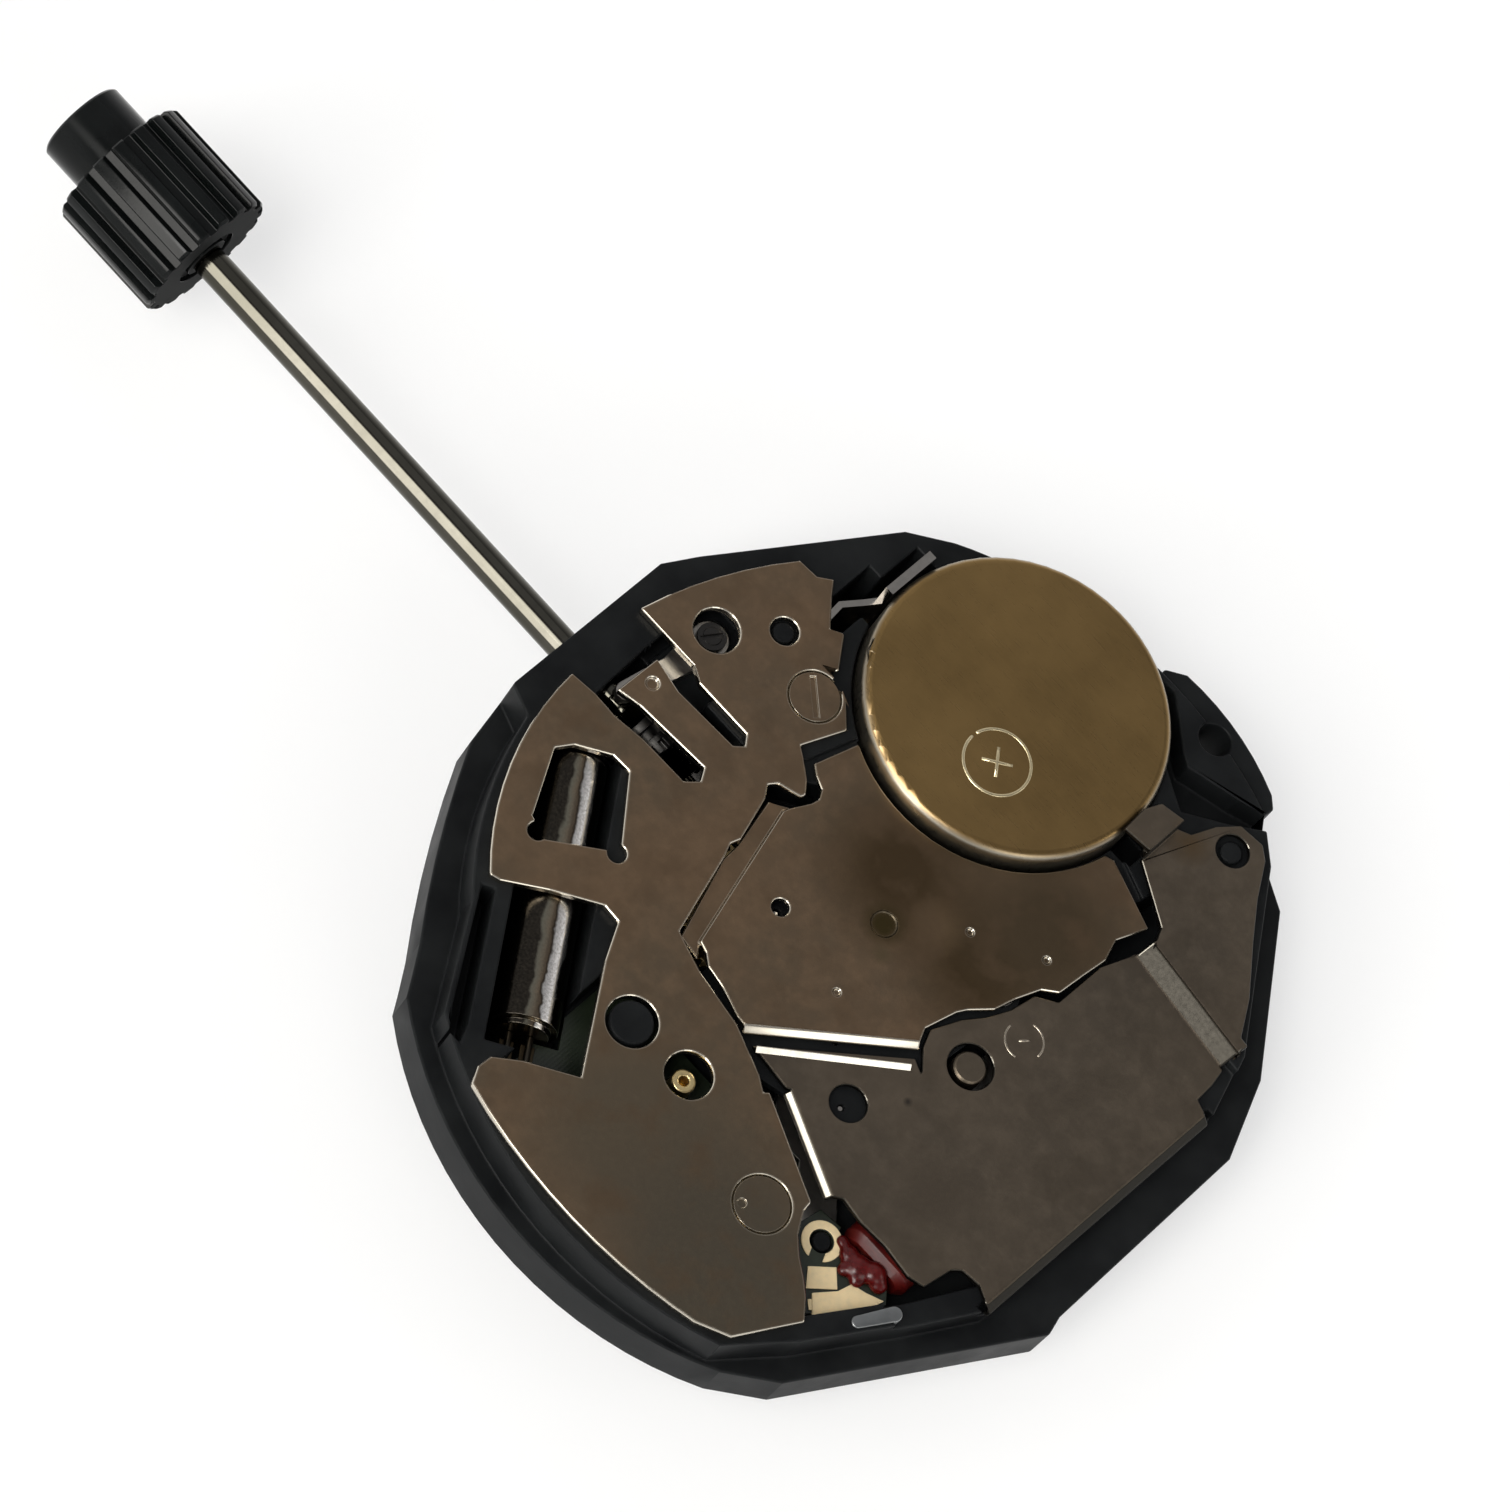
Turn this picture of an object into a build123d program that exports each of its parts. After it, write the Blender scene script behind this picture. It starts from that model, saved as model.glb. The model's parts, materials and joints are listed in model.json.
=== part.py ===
from build123d import *
import os
from math import atan2, cos, degrees, hypot, radians, sin

os.makedirs("parts", exist_ok=True)

# A small three-hand quartz movement, in millimetres, seen from its back (battery) side.
# The origin is where the hand axis crosses the dial seat. +X runs out along the stem, +Z points to the back.

# Levels above the dial seat
cover_t = 0.15  # dial-side cover
motion_roof = 0.55  # roof of the recess for the hour and minute wheels
floor_z = 0.85  # floor of the train space
flange_top = 1.15  # low outer step of the main plate
left_seat = 2.10  # underside of the left back plate
right_seat = 1.85  # underside of the right back plate's lower field
sheet_t = 0.20  # left back plate
thin_sheet_t = 0.15  # centre plate and right back plate
right_top = right_seat + thin_sheet_t
left_top = left_seat + sheet_t
centre_top = 2.15  # top of the centre plate
raised_top = 2.30  # top of the right back plate's raised field
stem_z = 1.20  # height of the stem axis
lug_top = 1.90  # casing lug
wall_t = 0.50  # wall round the works

# Main plate outline
dial_r = 9.57
stem_side_x = 8.75
coil_side_x = -8.05

# Battery
cell_r = 3.40
cell_h = 2.15
cell_x = 1.72
cell_y = -6.17
cell_floor = 0.35  # top of the plate under the battery
film_t = 0.05  # insulating film
cell_gap = 0.06  # round the battery
cell_z = cell_floor + film_t + 0.05
cell_top = cell_z + cell_h
cell_round = 0.20  # rounding of the upper edge
cell_cap_r = 2.65
cell_cap_h = 0.45
gasket_t = 0.22
clip_t = 0.14
clip_gap = 0.02

# Hand seats
hour_seat_r = 0.75
minute_seat_r = 0.40
second_seat_r = 0.085
hour_reach = 0.95  # how far each seat stands below the dial seat
minute_reach = 1.35
second_reach = 1.87
run_gap = 0.03  # running clearance, radial
shoulder_r = 0.94  # shoulder of the hour wheel, behind the dial
shoulder_reach = 0.05
cannon_r = 0.575  # cannon pinion inside the hour wheel
cannon_top_r = 0.45  # cannon pinion under the centre wheel
arbor_body_r = 0.24  # seconds arbor inside the centre tube
tube_r = 0.33  # centre tube
tube_reach = 0.38  # how far the tube stands below the dial seat
tube_bore_r = arbor_body_r + run_gap

# Gear train: teeth and modules
rotor_teeth = 6
fifth_teeth = 36
fifth_leaves = 12
seconds_teeth = 60
seconds_leaves = 8
third_teeth = 60
third_leaves = 8
centre_teeth = 64
cannon_leaves = 12
minute_teeth = 36
minute_leaves = 10
hour_teeth = 40
setting_teeth = 14
rotor_arm = 1.40  # distance from the rotor to the fifth wheel
fifth_arm = 2.10  # distance from the fifth wheel to the centre
third_arm = 2.00  # distance from the third wheel to the centre
minute_arm = 2.40  # distance from the minute wheel to the centre
rotor_turn = 139.6  # directions of these distances, degrees
fifth_turn = 117.0
third_turn = 26.0
minute_turn = 8.0
wheel_t = 0.10
arbor_r = 0.10
pivot_r = 0.05

# Levels of the train
centre_wheel_z = 0.92
bridge_low_z = 1.06  # centre bridge
bridge_low_t = 0.07
third_wheel_z = 1.17
seconds_wheel_z = 1.34
fifth_wheel_z = 1.49
magnet_z = 0.95
magnet_h = 0.35
magnet_r = 0.60
bridge_z = 1.66  # train wheel bridge
bridge_t = 0.18
hour_wheel_z = 0.19
minute_wheel_z = 0.38
motion_wheel_t = 0.12

# Motor
coil_x = -4.75
coil_y0 = -2.50
coil_y1 = 4.45
coil_half_w = 0.85
coil_low_z = 0.88
coil_high_z = 1.80
core_t = 0.22
core_z = 1.20
core_half_w = 0.35
stator_t = core_z - magnet_z
stator_bore_r = 0.80
stator_ring_r = 1.18
core_post_x = -3.74
core_post_y = 4.95
far_post_x = -4.10
far_post_y = -3.35
core_post_r = 0.20

# Crystal
can_r = 0.75
can_length = 6.00
can_z = 1.30
can_x = 6.85
can_y = 1.71
can_turn = 125.4
can_gap = 0.10
can_plug_t = 0.12  # glass plug at the lead end
lead_length = 0.55
lead_side = 0.22

# Stem, crown and keyless works
stem_r = 0.35
stem_inner_x = 4.30
square_x = 5.10
square_side = 0.44
square_end_x = 6.95
groove_x = 7.07
groove_w = 0.30
groove_r = 0.20
crown_x = 19.70
crown_tip_r = 1.60
crown_root_r = 1.42
crown_length = 2.70
crown_edge = 0.06  # small bevel at both ends of the ribs
crown_bore = 1.60
crown_ribs = 18
knob_r = 0.97
knob_length = 1.20
knob_dome = 0.06
pinion_x = 5.78
pinion_length = 0.77
pinion_r = 0.62
fork_x = 6.14
fork_gap_w = 0.22
fork_t = 0.16
lever_x = 6.93
lever_y = -2.29
lever_z = 1.63
lever_t = 0.20
lever_pin_r = 0.12

# Fixed posts and holes
stud_x = 1.98
stud_y = 5.15
stud_r = 0.47
bush_x = 0.44
bush_y = 5.02
small_stud_x = 6.03
small_stud_y = -3.45
lug_hole_x = -1.45
lug_hole_y = -9.45
foot_hole_r = 0.40
foot_hole_depth = 0.70
slot_screw_x = 4.60
slot_screw_y = -2.93
flat_screw_x = -2.43
flat_screw_y = 5.75

# Places worked out from the distances above
fifth_x = fifth_arm * cos(radians(fifth_turn))
fifth_y = fifth_arm * sin(radians(fifth_turn))
rotor_x = fifth_x + rotor_arm * cos(radians(rotor_turn))
rotor_y = fifth_y + rotor_arm * sin(radians(rotor_turn))
third_x = third_arm * cos(radians(third_turn))
third_y = third_arm * sin(radians(third_turn))
minute_x = minute_arm * cos(radians(minute_turn))
minute_y = minute_arm * sin(radians(minute_turn))
minute_module = 2 * minute_arm / (cannon_leaves + minute_teeth)
setting_arm = minute_module * (minute_teeth + setting_teeth) / 2
setting_x = minute_x + (setting_arm**2 - minute_y**2) ** 0.5
setting_r = 0.20
stem_centre = Vector(0, 0, stem_z)
BASE = (Align.CENTER, Align.CENTER, Align.MIN)


def save(part, name):
    """Name a finished piece and write it out."""
    part.part.label = name
    export_step(part.part, "parts/" + name + ".step")


def bearing(x0, y0, x1, y1):
    """Direction from one point to another, in degrees."""
    return degrees(atan2(y1 - y0, x1 - x0))


def gear(teeth, module, phase):
    """Toothed outline about the local origin, with a tooth pointing along phase."""
    step = 360 / teeth
    tip = module * (teeth / 2 + 0.90)
    root = module * (teeth / 2 - 1.15)
    corners = []
    for n in range(teeth):
        for radius, share in ((root, -0.33), (tip, -0.11), (tip, 0.11), (root, 0.33)):
            turn = radians(phase + (n + share) * step)
            corners.append((radius * cos(turn), radius * sin(turn)))
    with BuildSketch() as outline:
        with BuildLine():
            Polyline(*corners, close=True)
        make_face()
    return outline.sketch


def gap_phase(teeth, direction):
    """Phase that turns a gap between two teeth towards a direction."""
    return direction + 180 / teeth


# Main plate


def plate_outline():
    """Outer edge of the main plate: a dial circle with long flats and a casing lug."""
    with BuildSketch() as outline:
        with BuildLine():
            Polyline(
                (6.05, -7.30), (8.36, -3.29), (stem_side_x, -2.50), (stem_side_x, 1.90), (8.50, 3.00)
            )
            ThreePointArc((8.50, 3.00), (7.45, 4.85), (6.00, 6.90))
            Polyline((6.00, 6.90), (5.60, 7.50), (5.35, 7.90))
            ThreePointArc((5.35, 7.90), (0.30, dial_r), (-4.30, 8.35))
            Polyline((-4.30, 8.35), (-5.30, 7.50), (-8.17, 2.40), (coil_side_x, 1.95))
            Polyline((coil_side_x, 1.95), (coil_side_x, -3.40), (-7.30, -5.20), (-5.00, -8.30))
            Polyline((-5.00, -8.30), (-3.50, -9.10), (-3.35, -9.40), (-3.10, -9.62))
            ThreePointArc((-3.10, -9.62), (-1.45, -10.08), (-0.05, -10.10))
            Polyline((-0.05, -10.10), (0.35, -9.80), (0.40, -9.54))
            ThreePointArc((0.40, -9.54), (2.90, -9.10), (5.20, -8.00))
            Line((5.20, -8.00), (6.05, -7.30))
        make_face()
    return outline.sketch


def works_outline():
    """Outer edge of the upper body, which carries the back plates."""
    with BuildSketch() as outline:
        with BuildLine():
            Polyline((6.05, -7.30), (8.36, -3.29), (stem_side_x, -2.50), (stem_side_x, 1.90), (8.05, 2.15))
            ThreePointArc((8.05, 2.15), (7.12, 4.33), (5.90, 5.85))
            Polyline((5.90, 5.85), (4.55, 7.95))
            ThreePointArc((4.55, 7.95), (0.30, 9.20), (-3.95, 8.40))
            Polyline((-3.95, 8.40), (-4.95, 7.05), (-6.20, 4.90), (-7.00, 3.40), (-7.20, -3.30))
            Polyline((-7.20, -3.30), (-6.72, -4.75), (-4.20, -8.30), (-3.30, -9.05))
            ThreePointArc((-3.30, -9.05), (1.20, -9.50), (5.20, -8.00))
            Line((5.20, -8.00), (6.05, -7.30))
        make_face()
    return outline.sketch


def train_space():
    """Hollow for the train, the motor and the circuit, inside the wall."""
    with BuildSketch() as hollow:
        with BuildLine():
            Polyline((3.90, -1.20), (3.90, 2.40), (3.10, 4.60), (3.10, 8.15))
            ThreePointArc((3.10, 8.15), (0.00, 8.70), (-3.60, 7.85))
            Polyline((-3.60, 7.85), (-4.50, 6.80), (-5.75, 4.70), (-6.45, 3.25), (-6.65, -3.20))
            Polyline((-6.65, -3.20), (-6.20, -4.45), (-4.90, -6.30), (-3.10, -6.30), (-2.60, -3.90))
            Polyline((-2.60, -3.90), (-1.30, -3.10), (-0.60, -2.45), (0.60, -2.20), (2.60, -2.22), (3.90, -1.20))
        make_face()
    return hollow.sketch


def board_shelf():
    """Raised floor that carries the circuit board."""
    with BuildSketch() as shelf:
        with BuildLine():
            Polyline((3.10, 4.15), (3.10, 8.15))
            ThreePointArc((3.10, 8.15), (0.00, 8.70), (-3.60, 7.85))
            Polyline((-3.60, 7.85), (-4.50, 6.80), (-5.60, 5.00), (-5.20, 5.45), (-3.00, 5.45), (-2.20, 4.15), (3.10, 4.15))
        make_face()
    return shelf.sketch


def crystal_plane(height):
    """Plane along the crystal's axis, with its x direction away from the stem."""
    turn = radians(can_turn)
    return Plane(origin=(can_x, can_y, height), x_dir=(cos(turn), sin(turn), 0), z_dir=(0, 0, 1))


bridge_posts = [(2.35, -1.72), (1.30, 3.80), (-2.45, -1.65)]
centre_post_arm = 2.38
centre_post_turn = -20.0
centre_posts = [
    (centre_post_arm * cos(radians(turn)), centre_post_arm * sin(radians(turn)))
    for turn in (centre_post_turn, centre_post_turn + 180)
]
foot_holes = [(-5.30, 5.60), (7.00, -3.60)]
cover_studs = [(-1.95, -1.75), (-1.55, 2.05), (3.75, 2.05)]
cover_stud_r = 0.20
cover_rim = 0.22
hour_module = 2 * minute_arm / (minute_leaves + hour_teeth)
hour_room = hour_module * (hour_teeth / 2 + 0.9) + 0.08
minute_room = minute_module * (minute_teeth / 2 + 0.9) + 0.08
setting_room = minute_module * (setting_teeth / 2 + 0.9) + 0.08
board_z = 1.08
board_t = 0.12


def motion_space(rim):
    """Recess on the dial side round the hour, minute and setting wheels, widened by rim."""
    with BuildSketch() as recess:
        Circle(hour_room + rim)
        with Locations((minute_x, minute_y)):
            Circle(minute_room + rim)
        with Locations((setting_x, 0)):
            Circle(setting_room + rim)
        if rim:
            with Locations(*cover_studs):
                Circle(cover_stud_r + rim)
    return recess.sketch


with BuildPart() as main_plate:
    with BuildSketch(Plane.XY):
        add(plate_outline())
    extrude(amount=flange_top)
    with BuildSketch(Plane.XY.offset(flange_top)):
        add(works_outline())
    extrude(amount=left_seat - flange_top)
    # casing lug
    with BuildSketch(Plane.XY.offset(flange_top)):
        with BuildLine():
            Polyline((-3.10, -9.62), (-3.35, -9.40), (-3.30, -9.05), (-2.70, -8.82), (-1.50, -8.47), (-1.20, -8.66))
            Polyline((-1.20, -8.66), (-0.10, -9.50), (0.35, -9.55), (0.35, -9.80), (-0.05, -10.10))
            ThreePointArc((-0.05, -10.10), (-1.45, -10.08), (-3.10, -9.62))
        make_face()
    extrude(amount=lug_top - flange_top)
    # lower the wall under the right back plate and behind the battery
    with BuildSketch(Plane.XY.offset(right_seat)):
        Polygon(
            (-5.15, 5.10), (-7.60, 5.60), (-7.60, -4.35), (-4.80, -4.45), (-2.00, -1.50), (-2.00, 3.70), align=None
        )
    extrude(amount=left_seat - right_seat, mode=Mode.SUBTRACT)
    with BuildSketch(Plane.XY.offset(flange_top + 0.25)):
        with BuildLine():
            Polyline((-3.80, -9.00), (-2.90, -8.20), (-2.10, -7.60), (0.60, -9.05), (0.40, -9.40), (-0.15, -9.46))
            Polyline((-0.15, -9.46), (-1.20, -8.62), (-1.50, -8.44), (-2.70, -8.80), (-3.28, -9.03), (-3.80, -9.00))
        make_face()
    extrude(amount=1.2, mode=Mode.SUBTRACT)
    with BuildSketch(Plane.XY.offset(centre_top - thin_sheet_t)):
        Polygon(
            (-3.70, -5.20), (-1.80, -5.90), (1.70, -3.50), (3.40, -3.10), (3.75, -1.85), (3.95, -0.50), (2.60, 3.20),
            (-3.40, 1.00), align=None
        )
    extrude(amount=1, mode=Mode.SUBTRACT)
    with BuildSketch(Plane.XY.offset(right_seat - 0.27)):
        Polygon((-6.78, 3.52), (-6.97, -3.40), (-7.60, -3.40), (-7.60, 3.52), align=None)
    extrude(amount=1, mode=Mode.SUBTRACT)
    # hollow for the works, and the shelf for the board
    with BuildSketch(Plane.XY.offset(floor_z)):
        add(train_space())
    extrude(amount=left_seat, mode=Mode.SUBTRACT)
    with BuildSketch(Plane.XY.offset(floor_z)):
        add(board_shelf())
    extrude(amount=board_z - floor_z)
    # battery well, open towards the dial circle
    with BuildSketch(Plane.XY.offset(cell_floor)):
        with Locations((cell_x, cell_y)):
            Circle(cell_r + cell_gap)
    extrude(amount=3, mode=Mode.SUBTRACT)
    with BuildSketch(Plane.XY.offset(cell_floor)):
        with Locations((5.27, -6.20), (5.62, -5.05)):
            Rectangle(0.70, 2.10)
        with Locations((-1.95, -6.55)):
            Rectangle(0.60, 1.50)
    extrude(amount=3, mode=Mode.SUBTRACT)
    # crystal cradle with a deep groove beside it
    with BuildSketch(crystal_plane(can_z - can_r)):
        with Locations((can_length / 2 + 0.20, 0)):
            Rectangle(can_length + 1.10, 2 * (can_r + can_gap))
    extrude(amount=3, mode=Mode.SUBTRACT)
    with BuildSketch(Plane.XY.offset(flange_top)):
        Polygon((6.02, 5.45), (4.55, 7.72), (4.20, 8.15), (3.90, 8.15), (4.06, 7.78), (5.78, 5.30), align=None)
    extrude(amount=3, mode=Mode.SUBTRACT)
    # keyless works: well for the pinion and the setting wheel, seat for the lever, room for the yoke
    with BuildSketch(Plane.XY.offset(motion_roof)):
        Polygon((4.10, -1.04), (7.61, -1.04), (7.53, 0.62), (7.53, 0.92), (4.10, 0.92), align=None)
    extrude(amount=3, mode=Mode.SUBTRACT)
    with BuildSketch(Plane.XY.offset(stem_z - 0.12)):
        Polygon((3.70, 0.80), (6.65, 0.80), (6.65, 1.02), (5.80, 1.02), (5.05, 2.00), (3.70, 2.00), align=None)
    extrude(amount=3, mode=Mode.SUBTRACT)
    with BuildSketch(Plane.XY.offset(lever_z - run_gap)):
        Polygon((6.30, -3.05), (7.55, -3.05), (7.61, -0.90), (5.90, -0.90), (6.00, -2.30), align=None)
    extrude(amount=3, mode=Mode.SUBTRACT)
    with BuildSketch(Plane.XY.offset(stem_z + groove_r)):
        Polygon((7.40, -2.40), (8.20, -1.70), (8.38, -0.80), (8.38, 0.20), (7.40, 0.20), align=None)
    extrude(amount=lever_z + lever_t + 0.05 - stem_z - groove_r, mode=Mode.SUBTRACT)
    # posts for the bridges
    with Locations(*[(x, y, floor_z) for x, y in bridge_posts]):
        Cylinder(0.30, bridge_z - floor_z, align=BASE)
    with Locations(*[(x, y, floor_z) for x, y in centre_posts]):
        Cylinder(0.26, bridge_low_z - floor_z, align=BASE)
    with Locations((core_post_x, core_post_y, floor_z), (far_post_x, far_post_y, floor_z)):
        Cylinder(0.45, magnet_z - floor_z, align=BASE)
        Cylinder(core_post_r, core_z + core_t + 0.12 - floor_z, align=BASE)
    with Locations((stud_x, stud_y, board_z)):
        Cylinder(stud_r, left_top - 0.03 - board_z, align=BASE)
    with Locations((flat_screw_x, flat_screw_y, board_z)):
        Cylinder(0.50, left_seat - board_z, align=BASE)
    with Locations((small_stud_x, small_stud_y, left_seat)):
        Cylinder(0.24, sheet_t - 0.08, align=BASE)
    with Locations((-3.43, -7.74, left_seat)):
        Cylinder(0.25, 0.12, align=BASE)
    # dial side: stepped recess, posts and holes
    with BuildSketch(Plane.XY):
        add(motion_space(cover_rim))
    extrude(amount=cover_t + 0.01, mode=Mode.SUBTRACT)
    with BuildSketch(Plane.XY):
        add(motion_space(0))
    extrude(amount=motion_roof, mode=Mode.SUBTRACT)
    with BuildSketch(Plane.XY.offset(motion_roof - 0.01)):
        with Locations((setting_x, 0)):
            Circle(setting_room)
    extrude(amount=stem_z - stem_r - motion_roof, mode=Mode.SUBTRACT)
    with Locations(*[(x, y, 0) for x, y in cover_studs]):
        Cylinder(cover_stud_r, cover_t + 0.01, align=BASE)
    with Locations((minute_x, minute_y, cover_t + run_gap)):
        Cylinder(setting_r - run_gap, motion_roof - cover_t - run_gap, align=BASE)
    with Locations((0, 0, 0)):
        Cylinder(cannon_top_r + run_gap, 2 * floor_z, mode=Mode.SUBTRACT)
    with Locations(*[(x, y, 0) for x, y in foot_holes]):
        Cylinder(foot_hole_r, foot_hole_depth, align=BASE, mode=Mode.SUBTRACT)
    with Locations((lug_hole_x, lug_hole_y, 0)):
        Cylinder(foot_hole_r, 3, align=BASE, mode=Mode.SUBTRACT)
    # pivot holes in the floor, and holes for screws, pins and the bush
    with Locations(*[(x, y, floor_z - 0.12) for x, y in ((rotor_x, rotor_y), (fifth_x, fifth_y), (third_x, third_y))]):
        Cylinder(pivot_r + run_gap, 0.12, align=BASE, mode=Mode.SUBTRACT)
    with Locations(*[(x, y, bridge_z - 0.45) for x, y in bridge_posts]):
        Cylinder(0.12, 0.45, align=BASE, mode=Mode.SUBTRACT)
    with Locations(*[(x, y, floor_z - 0.10) for x, y in centre_posts]):
        Cylinder(0.10, 0.40, align=BASE, mode=Mode.SUBTRACT)
    with Locations((slot_screw_x, slot_screw_y, 1.00), (flat_screw_x, flat_screw_y, 1.00)):
        Cylinder(0.25, 1.20, align=BASE, mode=Mode.SUBTRACT)
    with Locations((lever_x, lever_y, 0.90)):
        Cylinder(0.20, 1.20, align=BASE, mode=Mode.SUBTRACT)
    with Locations((bush_x, bush_y, 0.60)):
        Cylinder(0.27, 1.00, align=BASE, mode=Mode.SUBTRACT)
    # stem passage
    with Locations(Plane(origin=(4.15, 0, stem_z), x_dir=(0, 1, 0), z_dir=(1, 0, 0))):
        Cylinder(stem_r + run_gap, 6.00, align=BASE, mode=Mode.SUBTRACT)
save(main_plate, "main_plate")

# Dial-side cover, held by three moulded studs

with BuildPart() as dial_side_cover:
    with BuildSketch(Plane.XY):
        add(motion_space(cover_rim))
        offset(amount=-0.03)
        Circle(shoulder_r + 2 * run_gap, mode=Mode.SUBTRACT)
        with Locations(*cover_studs):
            Circle(cover_stud_r + 0.01, mode=Mode.SUBTRACT)
    extrude(amount=cover_t)
save(dial_side_cover, "dial_side_cover")

# Centre tube and the bridge that holds it

tube_top = bridge_low_z + bridge_low_t
with BuildPart() as centre_tube:
    with Locations((0, 0, -tube_reach)):
        Cylinder(tube_r, tube_top + tube_reach, align=BASE)
        Cylinder(tube_bore_r, tube_top + tube_reach, align=BASE, mode=Mode.SUBTRACT)
save(centre_tube, "centre_tube")

with BuildPart() as centre_bridge:
    with BuildSketch(Plane((0, 0, bridge_low_z)).rotated((0, 0, centre_post_turn))):
        SlotCenterToCenter(2 * centre_post_arm, 0.70)
        Circle(0.55)
        Circle(tube_r, mode=Mode.SUBTRACT)
        with Locations((centre_post_arm, 0), (-centre_post_arm, 0)):
            Circle(0.12, mode=Mode.SUBTRACT)
    extrude(amount=bridge_low_t)
save(centre_bridge, "centre_bridge")

with BuildPart() as centre_bridge_screws:
    with Locations(*[(x, y, floor_z - 0.08) for x, y in centre_posts]):
        Cylinder(0.09, tube_top - floor_z + 0.08, align=BASE)
    with Locations(*[(x, y, tube_top) for x, y in centre_posts]):
        Cylinder(0.22, 0.12, align=BASE)
    for x, y in centre_posts:
        with BuildSketch(Plane((x, y, tube_top + 0.07))):
            Rectangle(0.60, 0.07, rotation=35)
        extrude(amount=0.1, mode=Mode.SUBTRACT)
save(centre_bridge_screws, "centre_bridge_screws")


# Gear train


def lightened(radius, hub, holes=4):
    """Round openings between the hub and the rim of a wheel, as one sketch."""
    middle = (radius + hub) / 2
    with BuildSketch() as openings:
        with PolarLocations(middle, holes):
            Circle((radius - hub) * 0.30)
    return openings.sketch


fifth_module = 2 * rotor_arm / (rotor_teeth + fifth_teeth)
seconds_module = 2 * fifth_arm / (fifth_leaves + seconds_teeth)
third_module = 2 * third_arm / (seconds_leaves + third_teeth)
centre_module = 2 * third_arm / (third_leaves + centre_teeth)
fifth_to_rotor = bearing(fifth_x, fifth_y, rotor_x, rotor_y)
hub_r = 0.16

with BuildPart() as rotor_magnet:
    with BuildSketch(Plane((rotor_x, rotor_y, magnet_z))):
        Circle(magnet_r)
        Circle(arbor_r, mode=Mode.SUBTRACT)
    extrude(amount=magnet_h)
save(rotor_magnet, "rotor_magnet")

with BuildPart() as rotor_pinion:
    with Locations((rotor_x, rotor_y, magnet_z - 0.06)):
        Cylinder(arbor_r, fifth_wheel_z - magnet_z, align=BASE)
    with Locations((rotor_x, rotor_y, floor_z - 0.10)):
        Cylinder(pivot_r, bridge_z + 0.12 - floor_z + 0.10, align=BASE)
    with BuildSketch(Plane((rotor_x, rotor_y, magnet_z + magnet_h + 0.08))):
        add(gear(rotor_teeth, fifth_module, fifth_to_rotor + 180))
    extrude(amount=0.27)
save(rotor_pinion, "rotor_pinion")

with BuildPart() as fifth_wheel:
    with BuildSketch(Plane((fifth_x, fifth_y, fifth_wheel_z))):
        add(gear(fifth_teeth, fifth_module, gap_phase(fifth_teeth, fifth_to_rotor)))
        add(lightened(1.05, 0.30), mode=Mode.SUBTRACT)
        Circle(hub_r, mode=Mode.SUBTRACT)
    extrude(amount=wheel_t)
save(fifth_wheel, "fifth_wheel")

with BuildPart() as fifth_pinion:
    with Locations((fifth_x, fifth_y, floor_z + 0.03)):
        Cylinder(arbor_r, bridge_z - floor_z - 0.06, align=BASE)
    with Locations((fifth_x, fifth_y, floor_z - 0.10)):
        Cylinder(pivot_r, bridge_z + 0.12 - floor_z + 0.10, align=BASE)
    with BuildSketch(Plane((fifth_x, fifth_y, seconds_wheel_z - 0.04))):
        add(gear(fifth_leaves, seconds_module, fifth_turn + 180))
    extrude(amount=fifth_wheel_z - seconds_wheel_z + 0.04)
    with Locations((fifth_x, fifth_y, fifth_wheel_z)):
        Cylinder(hub_r, wheel_t, align=BASE)
save(fifth_pinion, "fifth_pinion")

with BuildPart() as seconds_wheel:
    with BuildSketch(Plane((0, 0, seconds_wheel_z))):
        add(gear(seconds_teeth, seconds_module, gap_phase(seconds_teeth, fifth_turn)))
        add(lightened(1.55, 0.35), mode=Mode.SUBTRACT)
        Circle(hub_r, mode=Mode.SUBTRACT)
    extrude(amount=wheel_t)
save(seconds_wheel, "seconds_wheel")

with BuildPart() as seconds_arbor:
    with Locations((0, 0, -second_reach)):
        Cylinder(second_seat_r, second_reach - minute_reach, align=BASE)
    with Locations((0, 0, -minute_reach - 0.02)):
        Cylinder(arbor_body_r, minute_reach + 0.02 + tube_top, align=BASE)
    with BuildSketch(Plane.XY.offset(tube_top)):
        add(gear(seconds_leaves, third_module, third_turn))
    extrude(amount=seconds_wheel_z - tube_top)
    with Locations((0, 0, seconds_wheel_z)):
        Cylinder(hub_r, wheel_t, align=BASE)
        Cylinder(pivot_r, bridge_z + 0.12 - seconds_wheel_z, align=BASE)
        Cylinder(arbor_r, bridge_z - 0.03 - seconds_wheel_z, align=BASE)
save(seconds_arbor, "seconds_arbor")

with BuildPart() as third_wheel:
    with BuildSketch(Plane((third_x, third_y, third_wheel_z))):
        add(gear(third_teeth, third_module, gap_phase(third_teeth, third_turn + 180)))
        add(lightened(1.55, 0.35), mode=Mode.SUBTRACT)
        Circle(hub_r, mode=Mode.SUBTRACT)
    extrude(amount=wheel_t)
save(third_wheel, "third_wheel")

with BuildPart() as third_pinion:
    with Locations((third_x, third_y, floor_z - 0.10)):
        Cylinder(pivot_r, bridge_z + 0.12 - floor_z + 0.10, align=BASE)
    with Locations((third_x, third_y, floor_z + 0.03)):
        Cylinder(arbor_r, bridge_z - floor_z - 0.06, align=BASE)
    with BuildSketch(Plane((third_x, third_y, floor_z + 0.05))):
        add(gear(third_leaves, centre_module, third_turn + 180))
    extrude(amount=third_wheel_z - floor_z - 0.05)
    with Locations((third_x, third_y, third_wheel_z)):
        Cylinder(hub_r, wheel_t, align=BASE)
save(third_pinion, "third_pinion")

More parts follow.
